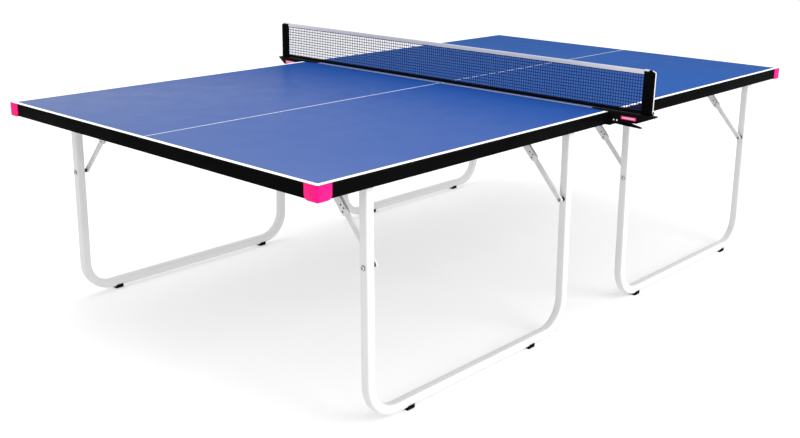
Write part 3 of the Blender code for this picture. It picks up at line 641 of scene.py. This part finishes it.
def rounded_square(half_u, half_v, radius, steps=4):
    """Points of a rounded rectangle about the origin."""
    points = []
    for quarter, (su, sv) in enumerate(((1, 1), (-1, 1), (-1, -1), (1, -1))):
        centre = (su * (half_u - radius), sv * (half_v - radius))
        points += arc(centre, radius, quarter * 90, quarter * 90 + 90, steps)
    return points


# ---------------------------------------------------------------- the two halves
def add_lines():
    """White lines along three edges of each half and its middle, and a dim pale strip by the net whose
    blue-grey colour is painted light.
    """
    for half, sign in HALVES:
        low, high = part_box(half + "_top")
        z0, z1 = high.z + 0.00001, high.z + PAINT
        end_x = high.x if sign > 0 else low.x
        net_x = low.x if sign > 0 else high.x
        end_inner = end_x - sign * LINE_WIDTH
        net_inner = net_x + sign * NET_EDGE_WIDTH
        left, right = sorted((net_inner, end_inner))
        side_left, side_right = sorted((net_x, end_inner))
        half_line = CENTRE_LINE_WIDTH / 2
        bm = bmesh.new()
        add_box(bm, (min(end_x, end_inner), low.y, z0), (max(end_x, end_inner), high.y, z1))
        add_box(bm, (side_left, low.y, z0), (side_right, low.y + LINE_WIDTH, z1))
        add_box(bm, (side_left, high.y - LINE_WIDTH, z0), (side_right, high.y, z1))
        add_box(bm, (left, -half_line, z0), (right, half_line, z1))
        add_piece(half + "_lines", mesh_of(bm), "tape_white", half + "_half", "line_white")
        # painted light: a dim blue-grey strip along the edge by the net, standing in for how light
        # falls on that edge
        light_strip = box_mesh((min(net_x, net_inner), low.y + LINE_WIDTH, z0),
                        (max(net_x, net_inner), high.y - LINE_WIDTH, z1))
        add_piece(half + "_net_trim", light_strip, "tape_white", half + "_half", "painted_light_grey")


def add_halves():
    """Playing surfaces, aprons and cross members with their edges rounded."""
    for half, paint in (("near", "top_blue"), ("far", "far_blue")):
        body = half + "_half"
        refined(half + "_top", TOP_EDGE, 2, body, paint)
        refined(half + "_frame", APRON_EDGE, 3, body)
        for end in ENDS:
            refined(half + "_cross_member_" + end, MEMBER_EDGE, 2, body)


def cap_mesh():
    """Moulded corner cap about the apron's corner, opening toward +X, +Y and up."""
    outline = arc((CAP_WIDTH - CAP_ROUNDING, CAP_BOTTOM + CAP_ROUNDING), CAP_ROUNDING, -90, 0, 20)
    outline += [(CAP_WIDTH, CAP_TOP), (-CAP_OUT, CAP_TOP)]
    outline += arc((-CAP_OUT + CAP_EDGE, CAP_BOTTOM + CAP_EDGE), CAP_EDGE, 180, 270, 8)
    depth = CAP_WIDTH + CAP_OUT
    middle = (CAP_WIDTH - CAP_OUT) / 2
    corner = arc((-CAP_OUT + CAP_CORNER, -CAP_OUT + CAP_CORNER), CAP_CORNER, 180, 270, 10)
    plan = corner + [(1.0, -CAP_OUT), (1.0, 1.0), (-CAP_OUT, 1.0)]
    inside = CAP_BOTTOM + CAP_FLOOR
    rebate = -APRON_INSET - GAP
    steps = [
        ("INTERSECT", plate([outline], depth, "X", middle)),
        ("INTERSECT", plate([plan], TABLE_HEIGHT, "Z", TABLE_HEIGHT)),
        ("DIFFERENCE", box_mesh((-GAP, -GAP, inside), (1.0, 1.0, TABLE_HEIGHT))),
        ("DIFFERENCE", box_mesh((rebate, rebate, FRAME_TOP - GAP), (1.0, 1.0, TABLE_HEIGHT))),
    ]
    return rounded(combine(plate([outline], depth, "Y", middle), steps), 0.0004, 2)


def screw_mesh(radius=SCREW_RADIUS, height=SCREW_HEIGHT):
    """A low domed screw head about Z with a cross recess, its seat at z = 0."""
    head = turned([(0.0, height), (radius * 0.5, height * 0.93), (radius * 0.85, height * 0.6),
                   (radius, 0.0), (radius, -0.0004), (0.0, -0.0004)])
    slot = radius * 0.62
    bar = radius * 0.16
    steps = [("DIFFERENCE", box_mesh((-slot, -bar, height * 0.35), (slot, bar, height * 2))),
             ("DIFFERENCE", box_mesh((-bar, -slot, height * 0.35), (bar, slot, height * 2)))]
    return smooth(combine(head, steps))


def add_caps():
    """The four corner caps, each held by a small screw on both faces."""
    cap = cap_mesh()
    screw = screw_mesh()
    faces = (((-SCREW_SEAT, SCREW_ACROSS, SCREW_Z), Matrix.Rotation(-pi / 2, 4, "Y")),
             ((SCREW_ACROSS, -SCREW_SEAT, SCREW_Z), Matrix.Rotation(pi / 2, 4, "X")))
    corners = [("near", "front", -1, -1, 0), ("far", "front", 1, -1, 1),
               ("far", "back", 1, 1, 2), ("near", "back", -1, 1, 3)]
    for half, side, x_sign, y_sign, quarter in corners:
        tag = half + "_" + side
        corner_x = x_sign * (TABLE_HALF_LENGTH - APRON_INSET)
        corner_y = y_sign * (TABLE_HALF_WIDTH - APRON_INSET)
        turn = Matrix.Translation((corner_x, corner_y, 0)) @ Matrix.Rotation(quarter * pi / 2, 4, "Z")
        body = half + "_half"
        add_at("cap_" + tag, cap, turn, "cap_pink", body, None, ("corner_cap_" + tag,))
        for k, (spot, tilt) in enumerate(faces):
            seat = turn @ Matrix.Translation(spot) @ tilt
            add_at("cap_screw_%s_%d" % (tag, k), screw, seat, "bolt_black", body, "screw_steel")


# ---------------------------------------------------------------- legs, braces and feet
def leg_mesh():
    """U leg about its hinge axis, swept from a rounded square tube, with its pivot holes."""
    half = LEG_WIDTH / 2
    profile = rounded_square(TUBE / 2, TUBE / 2, TUBE_ROUNDING)
    crown = TUBE / 2 + CROWN_LIFT
    stations = []
    for angle in CROWN_ANGLES:
        lift, pinch = sin(radians(angle)), cos(radians(angle))
        stations.append(((-half, crown * lift), (-1.0, 0.0), pinch))
    low = -LEG_DEPTH + BEND_RADIUS
    for x, start in ((-half + BEND_RADIUS, 180), (half - BEND_RADIUS, 270)):
        for i in range(BEND_STEPS + 1):
            angle = radians(start + 90 * i / BEND_STEPS)
            out = (cos(angle), sin(angle))
            stations.append(((x + BEND_RADIUS * out[0], low + BEND_RADIUS * out[1]), out, 1.0))
    for angle in reversed(CROWN_ANGLES):
        lift, pinch = sin(radians(angle)), cos(radians(angle))
        stations.append(((half, crown * lift), (1.0, 0.0), pinch))
    rings = []
    for (x, z), (nx, nz), pinch in stations:
        rings.append([(x + u * nx, v * pinch, z + u * nz) for u, v in profile])
    steps = []
    for x in (-half, half):
        for z in (0.0, -BRACE_DROP):
            steps.append(("DIFFERENCE", rod(PIVOT_HOLE, x - TUBE, x + TUBE, 0.0, z)))
    return smooth(combine(loft(rings), steps))


def foot_mesh():
    """Clip-on foot: a rounded shoe that flares up from its sole, with a channel for the bar."""
    sole, half = FOOT_SOLE / 2, FOOT_WIDTH / 2
    side = [(-sole, 0.0), (sole, 0.0), (half, FOOT_FLARE), (half, FOOT_HEIGHT),
            (-half, FOOT_HEIGHT), (-half, FOOT_FLARE)]
    plan = rounded_square(FOOT_LENGTH / 2, half, FOOT_CORNER, 8)
    channel = box_mesh((-FOOT_LENGTH, -FOOT_HALF_CHANNEL, FOOT_SEAT),
                       (FOOT_LENGTH, FOOT_HALF_CHANNEL, TUBE))
    steps = [("INTERSECT", plate([plan], TUBE * 2, "Z")), ("DIFFERENCE", channel)]
    return rounded(combine(plate([side], FOOT_LENGTH * 2, "X"), steps), 0.0005, 2, 25.0)


def link_outline(width, length):
    """A link with round ends, from its pivot at the origin down to one at -length."""
    radius = width / 2
    return arc((0, 0), radius, 0, 180, 24) + arc((0, -length), radius, 180, 360, 24)


def hole(z, steps=24):
    """A round pivot hole in a link."""
    return arc((0.0, z), PIVOT_HOLE, 0, 360 / steps - 360, steps - 1)


def upper_link_mesh():
    """Upper brace link: two stamped cheeks joined by a web along the hinge side."""
    loops = [link_outline(UPPER_WIDTH, UPPER_LENGTH), hole(0.0)]
    cheek = plate(loops, CHEEK, "X", -CHEEK_OFFSET, 0.0005)
    other = plate(loops, CHEEK, "X", CHEEK_OFFSET, 0.0005)
    outer = WEB_INSET - UPPER_WIDTH / 2
    reach = CHEEK_OFFSET + CHEEK / 4
    web = box_mesh((-reach, outer, -WEB_LENGTH), (reach, outer + WEB, 0.0))
    return smooth(combine(cheek, [("UNION", web), ("UNION", other)]))


def rivet_mesh(radius, height):
    """A domed rivet head about Z, its seat at z = 0."""
    profile = [(0.0, height)]
    for angle in (75, 60, 45, 30, 15, 0):
        profile.append((radius * cos(radians(angle)), height * sin(radians(angle))))
    profile += [(radius, -0.0003), (0.0, -0.0003)]
    return turned(profile, 24)


def hex_mesh(across, start, end, chamfer=0.0006):
    """A hexagonal head or nut about Z with its corners turned off."""
    half = across / 2 / cos(pi / 6)
    rings = []
    for radius, height in ((half - chamfer, start), (half, start + chamfer),
                           (half, end - chamfer), (half - chamfer, end)):
        rings.append([(radius * cos(pi * k / 3), radius * sin(pi * k / 3), height) for k in range(6)])
    return smooth(loft(rings), 20.0)


def disc(radius, seat, face, inward=0.0, drop=0.0):
    """A disc about Z from its seat to its face, whose rim slopes inward over a drop."""
    back = drop if face > seat else -drop
    rim = [(radius - inward, face), (radius, face - back)] if inward else [(radius, face)]
    return turned([(0.0, face)] + rim + [(radius, seat), (0.0, seat)])


def bolt_meshes():
    """The brace bolt's pieces about Z, inward from the upright's middle."""
    wall = TUBE / 2 + GAP
    bushing_end = wall + BUSHING_LENGTH
    sleeve_end = LOWER_LAYER - LOWER_THICKNESS / 2 - GAP
    head = LOWER_LAYER + LOWER_THICKNESS / 2 + GAP
    outer, inner = 0.0008, 0.0005
    bushing = turned([(0.0, bushing_end), (BUSHING_RADIUS - outer, bushing_end),
                      (BUSHING_RADIUS, bushing_end - outer), (BUSHING_RADIUS, wall + inner),
                      (BUSHING_RADIUS - inner, wall), (STUD_RADIUS, wall), (STUD_RADIUS, -wall),
                      (0.0, -wall)])
    sleeve = disc(SLEEVE_RADIUS, bushing_end + AIR, sleeve_end, 0.0004, 0.0005)
    stud = disc(STUD_RADIUS, sleeve_end + AIR, head + AIR)
    washer_end = head + 2 * AIR + WASHER_THICKNESS
    washer = disc(WASHER_RADIUS, head + 2 * AIR, washer_end, 0.0003, 0.0004)
    top = hex_mesh(HEAD_ACROSS, washer_end + AIR, washer_end + AIR + HEAD_HEIGHT, 0.0005)
    nut_seat = -wall - AIR - NUT_WASHER_THICKNESS
    nut_washer = disc(BUSHING_RADIUS, -wall - AIR, nut_seat, 0.0007, 0.0007)
    nut_end = nut_seat - AIR - NUT_HEIGHT
    nut = hex_mesh(NUT_ACROSS, nut_end, nut_seat - AIR, 0.0006)
    tip = nut_end - AIR
    end = turned([(0.0, tip), (THREAD_RADIUS, tip), (THREAD_RADIUS - 2 * THREAD_END, tip - THREAD_END),
                  (0.0, tip - THREAD_END)])
    return (("bushing", bushing, "bolt_black", None), ("sleeve", sleeve, "bolt_black", None),
            ("stud", stud, "link_zinc", None), ("washer", washer, "link_zinc", None),
            ("head", top, "link_zinc", "bolt_zinc"),
            ("nut_washer", nut_washer, "link_zinc", "bolt_zinc"),
            ("nut", nut, "link_zinc", None), ("thread_end", end, "link_zinc", "bolt_zinc"))


def leg_meshes():
    """The meshes that every leg shares."""
    loops = [link_outline(LOWER_WIDTH, LOWER_LENGTH), hole(0.0)]
    lower = plate(loops, LOWER_THICKNESS, "X", 0.0, 0.0012)
    return {
        "leg": leg_mesh(),
        "foot": foot_mesh(),
        "lower": smooth(lower),
        "upper": upper_link_mesh(),
        "bolt": bolt_meshes(),
        "rivet": rivet_mesh(*LINK_RIVET),
    }


def add_leg(half, side, x_sign, y_sign, shared):
    """One U leg with its feet, brace bolts and two folding braces."""
    tag = half + "_" + side
    leg_body = "folding_leg_" + tag
    turn = 0.0 if side == "front" else pi
    face = Matrix.Rotation(turn, 4, "Z")
    lean = Matrix.Rotation(y_sign * LEG_LEAN, 4, "X")
    place = Matrix.Translation((x_sign * LEG_MIDDLE_X, y_sign * HINGE_Y, HINGE_Z))
    add_at("u_leg_" + tag, shared["leg"], place @ lean, "leg_silver", leg_body, None,
           ("leg_" + tag,))
    insets = FOOT_INSET_WIDE if tag in WIDE_LEGS else FOOT_INSET
    for end, upright in (("end", LEG_END_X), ("net", LEG_NET_X)):
        inward = -x_sign if end == "end" else x_sign
        name = tag + "_" + end
        spot = Matrix.Translation((x_sign * upright + inward * insets[end], y_sign * FOOT_Y, 0.0))
        add_at("shoe_" + name, shared["foot"], spot, "foot_rubber", leg_body, None,
               ("foot_" + name,))
        bolt = Matrix.Translation((x_sign * upright, y_sign * BOLT_Y, BOLT_Z))
        bolt = bolt @ Matrix.Rotation(inward * pi / 2, 4, "Y")
        for part, mesh, slot, material in shared["bolt"]:
            stands_for = ("brace_bolt_" + name,) if part == "bushing" else ()
            add_at("bolt_%s_%s" % (part, name), mesh, bolt, slot, leg_body, material, stands_for)
        layer = x_sign * upright + inward * LOWER_LAYER
        low = Matrix.Translation((layer, y_sign * BOLT_Y, BOLT_Z)) @ face
        low = low @ Matrix.Rotation(pi - BRACE_ANGLE, 4, "X")
        add_at("link_lower_" + name, shared["lower"], low, "link_zinc", "lower_braces_" + tag, None,
               ("brace_lower_" + name,))
        high = Matrix.Translation((layer, y_sign * EAR_Y, HINGE_Z)) @ face
        high = high @ Matrix.Rotation(-BRACE_ANGLE, 4, "X")
        add_at("link_upper_" + name, shared["upper"], high, "link_zinc", "upper_braces_" + tag, None,
               ("brace_upper_" + name,))
        cheek_face = CHEEK_OFFSET + CHEEK / 2
        for k, (y, z) in enumerate(LINK_RIVETS):
            for flank in (-1, 1):
                seat = high @ Matrix.Translation((flank * cheek_face, y, z))
                seat = seat @ Matrix.Rotation(flank * pi / 2, 4, "Y")
                add_at("rivet_%s_%d_%s" % (name, k, "in" if flank > 0 else "out"), shared["rivet"],
                       seat, "bolt_black", "upper_braces_" + tag, "screw_steel")


def add_legs():
    """Both legs of both halves."""
    shared = leg_meshes()
    for half, x_sign in HALVES:
        for side, y_sign in SIDES:
            add_leg(half, side, x_sign, y_sign, shared)


# ---------------------------------------------------------------- net set
def strand_columns(low, high, pitch):
    """Places across the net where strands run: (edge, ridge, edge) for each strand."""
    count = int((high - low - STRAND) / pitch)
    step = (high - low - STRAND) / count
    columns = []
    for i in range(count + 1):
        start = low + i * step
        columns += [(start, 0), (start + STRAND / 2, 1), (start + STRAND, 0)]
    return columns


def net_sheet():
    """The net's mesh: crossed cords with real holes between them."""
    reach = NET_LENGTH / 2 - POST_WIDTH - GAP
    across = strand_columns(-reach, reach, NET_PITCH)
    up = strand_columns(NET_BOTTOM + BOTTOM_TAPE + GAP, NET_TOP - TOP_TAPE - GAP, NET_PITCH)
    columns, rows = len(across), len(up)
    points = []
    for side in (-1, 1):
        for z, ridge_z in up:
            for y, ridge_y in across:
                thick = STRAND_RIDGE if ridge_y or ridge_z else STRAND_EDGE
                if ridge_y and ridge_z:
                    thick = STRAND_RIDGE * KNOT
                points.append((side * thick, y, z))
    layer = columns * rows

    def solid(i, j):
        """Whether the cell between columns i and i + 1, rows j and j + 1, is cord."""
        if i < 0 or j < 0 or i >= columns - 1 or j >= rows - 1:
            return False
        return i % 3 != 2 or j % 3 != 2

    faces = []
    for j in range(rows - 1):
        for i in range(columns - 1):
            if not solid(i, j):
                continue
            a = j * columns + i
            b, c, d = a + 1, a + columns + 1, a + columns
            faces.append((a, d, c, b))
            faces.append((a + layer, b + layer, c + layer, d + layer))
            for (p, q), beside in (((a, b), (i, j - 1)), ((b, c), (i + 1, j)),
                                   ((c, d), (i, j + 1)), ((d, a), (i - 1, j))):
                if not solid(*beside):
                    faces.append((p, q, q + layer, p + layer))
    mesh = bpy.data.meshes.new("net")
    mesh.from_pydata(points, [], faces)
    loose = bmesh.new()
    loose.from_mesh(mesh)
    bmesh.ops.delete(loose, geom=[v for v in loose.verts if not v.link_faces], context="VERTS")
    bmesh.ops.recalc_face_normals(loose, faces=loose.faces)
    loose.to_mesh(mesh)
    loose.free()
    return smooth(mesh, 80.0)


def band_mesh(half_thick, half_width, middle_z, reach):
    """A folded band along Y with soft edges and a slight waviness along its length."""
    profile = rounded_square(half_thick, half_width, half_thick * 0.8, 4)
    rings = []
    steps = 120
    for i in range(steps + 1):
        y = -reach + 2 * reach * i / steps
        ripple = 1.0 + 0.05 * sin(i * 2.3) + 0.03 * sin(i * 0.71)
        rings.append([(u * ripple * 0.93, y, middle_z + v) for u, v in profile])
    return smooth(loft(rings))


def stitch_mesh(reach, z, half_thick):
    """A row of short stitches along both faces of a band, their outer sides narrower."""
    bm = bmesh.new()
    half = STITCH_LENGTH / 2
    for k in range(int(2 * reach / STITCH_PITCH)):
        y = -reach + STITCH_PITCH * (k + 0.5)
        for x in (-half_thick, half_thick):
            low = (x - STITCH_HALF_DEPTH, y - half, z - STITCH_HALF_WIDTH)
            high = (x + STITCH_HALF_DEPTH, y + half, z + STITCH_HALF_WIDTH)
            for vert in add_box(bm, low, high):
                if abs(vert.co.x) < half_thick:
                    continue
                vert.co.y += (y - vert.co.y) * 0.35
                vert.co.z += (z - vert.co.z) * 0.45
    return mesh_of(bm)


def add_net():
    """Net mesh, its two tapes with the top one's stitching, its posts and the tension cord."""
    reach = NET_LENGTH / 2 - POST_WIDTH - GAP
    body = "near_half"
    net = add_piece("net_knotted_mesh", net_sheet(), "net_cord", body, None, ("net_mesh",))
    top_middle = NET_TOP - TOP_TAPE / 2
    top_band = band_mesh(TOP_BAND_HALF, TOP_TAPE / 2, top_middle, reach)
    top = add_piece("net_top_band", top_band, "tape_white", body, None, ("net_top_tape",))
    low_middle = NET_BOTTOM + BOTTOM_TAPE / 2
    low_band = band_mesh(LOW_BAND_HALF, BOTTOM_TAPE / 2, low_middle, reach)
    low = add_piece("net_bottom_band", low_band, "tape_black", body, None, ("net_bottom_tape",))
    seam = stitch_mesh(reach, NET_TOP - TOP_TAPE + STITCH_INSET, TOP_BAND_HALF)
    stitches = add_piece("net_top_stitching", seam, "tape_white", body, "thread_white")
    add_posts(body)
    add_cord(body)


def post_mesh():
    """Net post sleeve about its own middle line, its top sloping down to the outside at -Y."""
    foot = TABLE_HEIGHT + GAP + JAW_PLATE + GAP
    half = POST_WIDTH / 2
    outer = POST_TOP - POST_SLOPE
    side = [(-half, foot), (half, foot), (half, POST_TOP), (-half + POST_SLOPE_RUN, POST_TOP)]
    side += arc((-half + POST_ROUNDING, outer - POST_ROUNDING), POST_ROUNDING, 90, 180, 8)
    return rounded(plate([side], POST_THICKNESS, "X"), POST_EDGE, 3)


def add_posts(body):
    """Posts with the white band's ends over their tops."""
    post = post_mesh()
    lip = rounded_square(POST_THICKNESS / 2 + 0.0006, 0.0022, 0.0007, 3)
    for side, y_sign in SIDES:
        middle = y_sign * (NET_LENGTH / 2 - POST_WIDTH / 2)
        turn = Matrix.Translation((0.0, middle, 0.0))
        if y_sign > 0:
            turn = turn @ Matrix.Rotation(pi, 4, "Z")
        add_at("post_" + side, post, turn, "tape_black", body, "post_black", ("net_post_" + side,))
        start = NET_LENGTH / 2 - POST_WIDTH - GAP
        rings = []
        for i in range(9):
            y = y_sign * (start + BAND_END_REACH * i / 8)
            rings.append([(u, y, POST_TOP - BAND_END_DROP + v) for u, v in lip])
        add_piece("net_band_end_" + side, smooth(loft(rings)), "tape_white", body)


def loop_mesh(middle_y, middle_z):
    """The cord's open end loop, taller than wide and twisted a little about its middle."""
    twist, half_width, half_height, radius = 0.0012, 0.0034, 0.0052, 0.0010
    points = []
    for k in range(33):
        angle = radians(100 + 340 * k / 32)
        points.append((twist * sin(angle), middle_y + half_width * cos(angle),
                       middle_z + half_height * sin(angle)))
    return tube(points, radius, 10)


def add_cord(body):
    """The tension cord down the front post, with its end loop and toggle."""
    slope = POST_SLOPE / POST_SLOPE_RUN
    lift = CORD_RADIUS + GAP
    run_y = -NET_LENGTH / 2 - lift
    corner_z = POST_TOP - POST_SLOPE + lift
    bend = arc((run_y + CORD_BEND, corner_z - CORD_BEND), CORD_BEND, 90, 180, 12)
    route = [(0.0, run_y + CORD_LEAD, corner_z + slope * CORD_LEAD)]
    route += [(0.0, y, z) for y, z in bend]
    route += [(0.0, run_y, z) for z in CORD_RUN_Z]
    add_piece("net_cord_run", tube(route, CORD_RADIUS), "tape_white", body, "thread_white",
              ("net_tension_cord",))
    loop = loop_mesh(run_y - CORD_LOOP_OUT, CORD_LOOP_Z)
    add_piece("net_cord_loop", loop, "tape_white", body, "thread_white")
    half, waist, rim, shoulder = 0.0052, 0.0024, 0.0028, 0.0022
    toggle = turned([(0.0, half), (shoulder, 0.0050), (rim, 0.0040), (waist, 0.0),
                     (rim, -0.0040), (shoulder, -0.0050), (0.0, -half)], 24)
    seat = Matrix.Translation((0.0, run_y - CORD_LOOP_OUT, TOGGLE_Z))
    seat = seat @ Matrix.Rotation(0.25, 4, "X")
    add_at("net_cord_toggle", toggle, seat, "clamp_black", body)


def add_clamps():
    """Clamps with rounded edges, rivets and a plain coloured label on each flange."""
    body = "near_half"
    rivet = rivet_mesh(*CLAMP_RIVET)
    label = smooth(plate([rounded_square(*LABEL_HALF, 0.0012, 4)], 0.0004, "X", 0.0, 0.0001))
    field = smooth(plate([rounded_square(*FIELD_HALF, 0.0008, 4)], 0.0003, "X", 0.0, 0.00005))
    half, neck, rim, slope = 0.0262, 0.0030, 0.0034, 0.0006
    axle = turned([(0.0, half), (neck, half), (rim, half - slope), (neck, half - 2 * slope),
                   (neck, 2 * slope - half), (rim, slope - half), (neck, -half), (0.0, -half)])
    for side, y_sign in SIDES:
        refined("clamp_jaw_" + side, JAW_EDGE, 2, body)
        refined("clamp_lever_" + side, LEVER_EDGE, 2, "clamp_lever_" + side + "_body")
        for flank in (-1, 1):
            tag = side + ("_left" if flank < 0 else "_right")
            for k, y in enumerate(CLAMP_RIVETS_Y):
                seat = Matrix.Translation((flank * CLAMP_FLANK, y_sign * y, CLAMP_RIVET_Z))
                seat = seat @ Matrix.Rotation(flank * pi / 2, 4, "Y")
                add_at("clamp_rivet_%s_%d" % (tag, k), rivet, seat, "link_zinc", body, "line_white")
            seat = Matrix.Translation((flank * LABEL_LIFT, y_sign * LABEL_Y, LABEL_Z))
            add_at("clamp_plate_" + tag, label, seat, "cap_pink", body, "label_pink")
            seat = Matrix.Translation((flank * FIELD_LIFT, y_sign * LABEL_Y, LABEL_Z))
            add_at("clamp_plate_field_" + tag, field, seat, "cap_pink", body, "label_field")
        seat = Matrix.Translation((0.0, y_sign * PIN_Y, PIN_Z)) @ Matrix.Rotation(pi / 2, 4, "Y")
        add_at("clamp_axle_" + side, axle, seat, "bolt_black", body, None, ("clamp_pin_" + side,))


# ---------------------------------------------------------------- stage, lights and camera
def add_floor():
    """A plain white floor."""
    bpy.ops.mesh.primitive_plane_add(size=60.0, location=(0, 0, -0.0005))
    floor = bpy.context.object
    floor.name = "floor"
    mat, _, shader = new_material("floor_white")
    shader.inputs["Base Color"].default_value = FLOOR_GREY
    shader.inputs["Roughness"].default_value = 0.9
    shader.inputs["Specular IOR Level"].default_value = 0.1
    shader.inputs["Emission Color"].default_value = WHITE
    shader.inputs["Emission Strength"].default_value = 0.38
    floor.data.materials.append(mat)


def add_area(name, place, aim, size, power):
    """A soft square light aimed at a point."""
    data = bpy.data.lights.new(name, "AREA")
    data.shape = "SQUARE"
    data.size = size
    data.energy = power
    obj = bpy.data.objects.new(name, data)
    bpy.context.scene.collection.objects.link(obj)
    obj.location = place
    obj.rotation_euler = (Vector(aim) - Vector(place)).to_track_quat("-Z", "Y").to_euler()


def add_lights():
    """Soft white studio light from all round, stronger from the front side."""
    world = bpy.data.worlds.new("studio")
    world.use_nodes = True
    background = world.node_tree.nodes["Background"]
    background.inputs["Color"].default_value = WHITE
    background.inputs["Strength"].default_value = 1.0
    bpy.context.scene.world = world
    add_area("front_softbox", (0.5, -5.5, 3.0), (0.0, 0.0, 0.3), 4.0, 220.0)
    add_area("top_softbox", (-0.5, 0.5, 5.0), (0.0, 0.0, 0.5), 4.0, 120.0)


def add_camera():
    """The camera, from its named place, directions, roll and lens."""
    forward = Vector((cos(CAMERA_PITCH) * cos(CAMERA_YAW), cos(CAMERA_PITCH) * sin(CAMERA_YAW),
                      sin(CAMERA_PITCH)))
    right = Vector((sin(CAMERA_YAW), -cos(CAMERA_YAW), 0.0))
    up = right.cross(forward)
    rolled_right = cos(CAMERA_ROLL) * right + sin(CAMERA_ROLL) * up
    rolled_up = cos(CAMERA_ROLL) * up - sin(CAMERA_ROLL) * right
    data = bpy.data.cameras.new("camera")
    data.sensor_width = SENSOR
    data.lens = CAMERA_LENS
    data.clip_end = 200.0
    camera = bpy.data.objects.new("camera", data)
    bpy.context.scene.collection.objects.link(camera)
    turn = Matrix((rolled_right, rolled_up, -forward)).transposed().to_4x4()
    camera.matrix_world = Matrix.Translation(CAMERA_PLACE) @ turn
    bpy.context.scene.camera = camera


paint_nodes()
add_halves()
add_lines()
add_caps()
add_legs()
add_net()
add_clamps()
add_floor()
add_lights()
add_camera()
bpy.context.scene.view_settings.view_transform = "Standard"
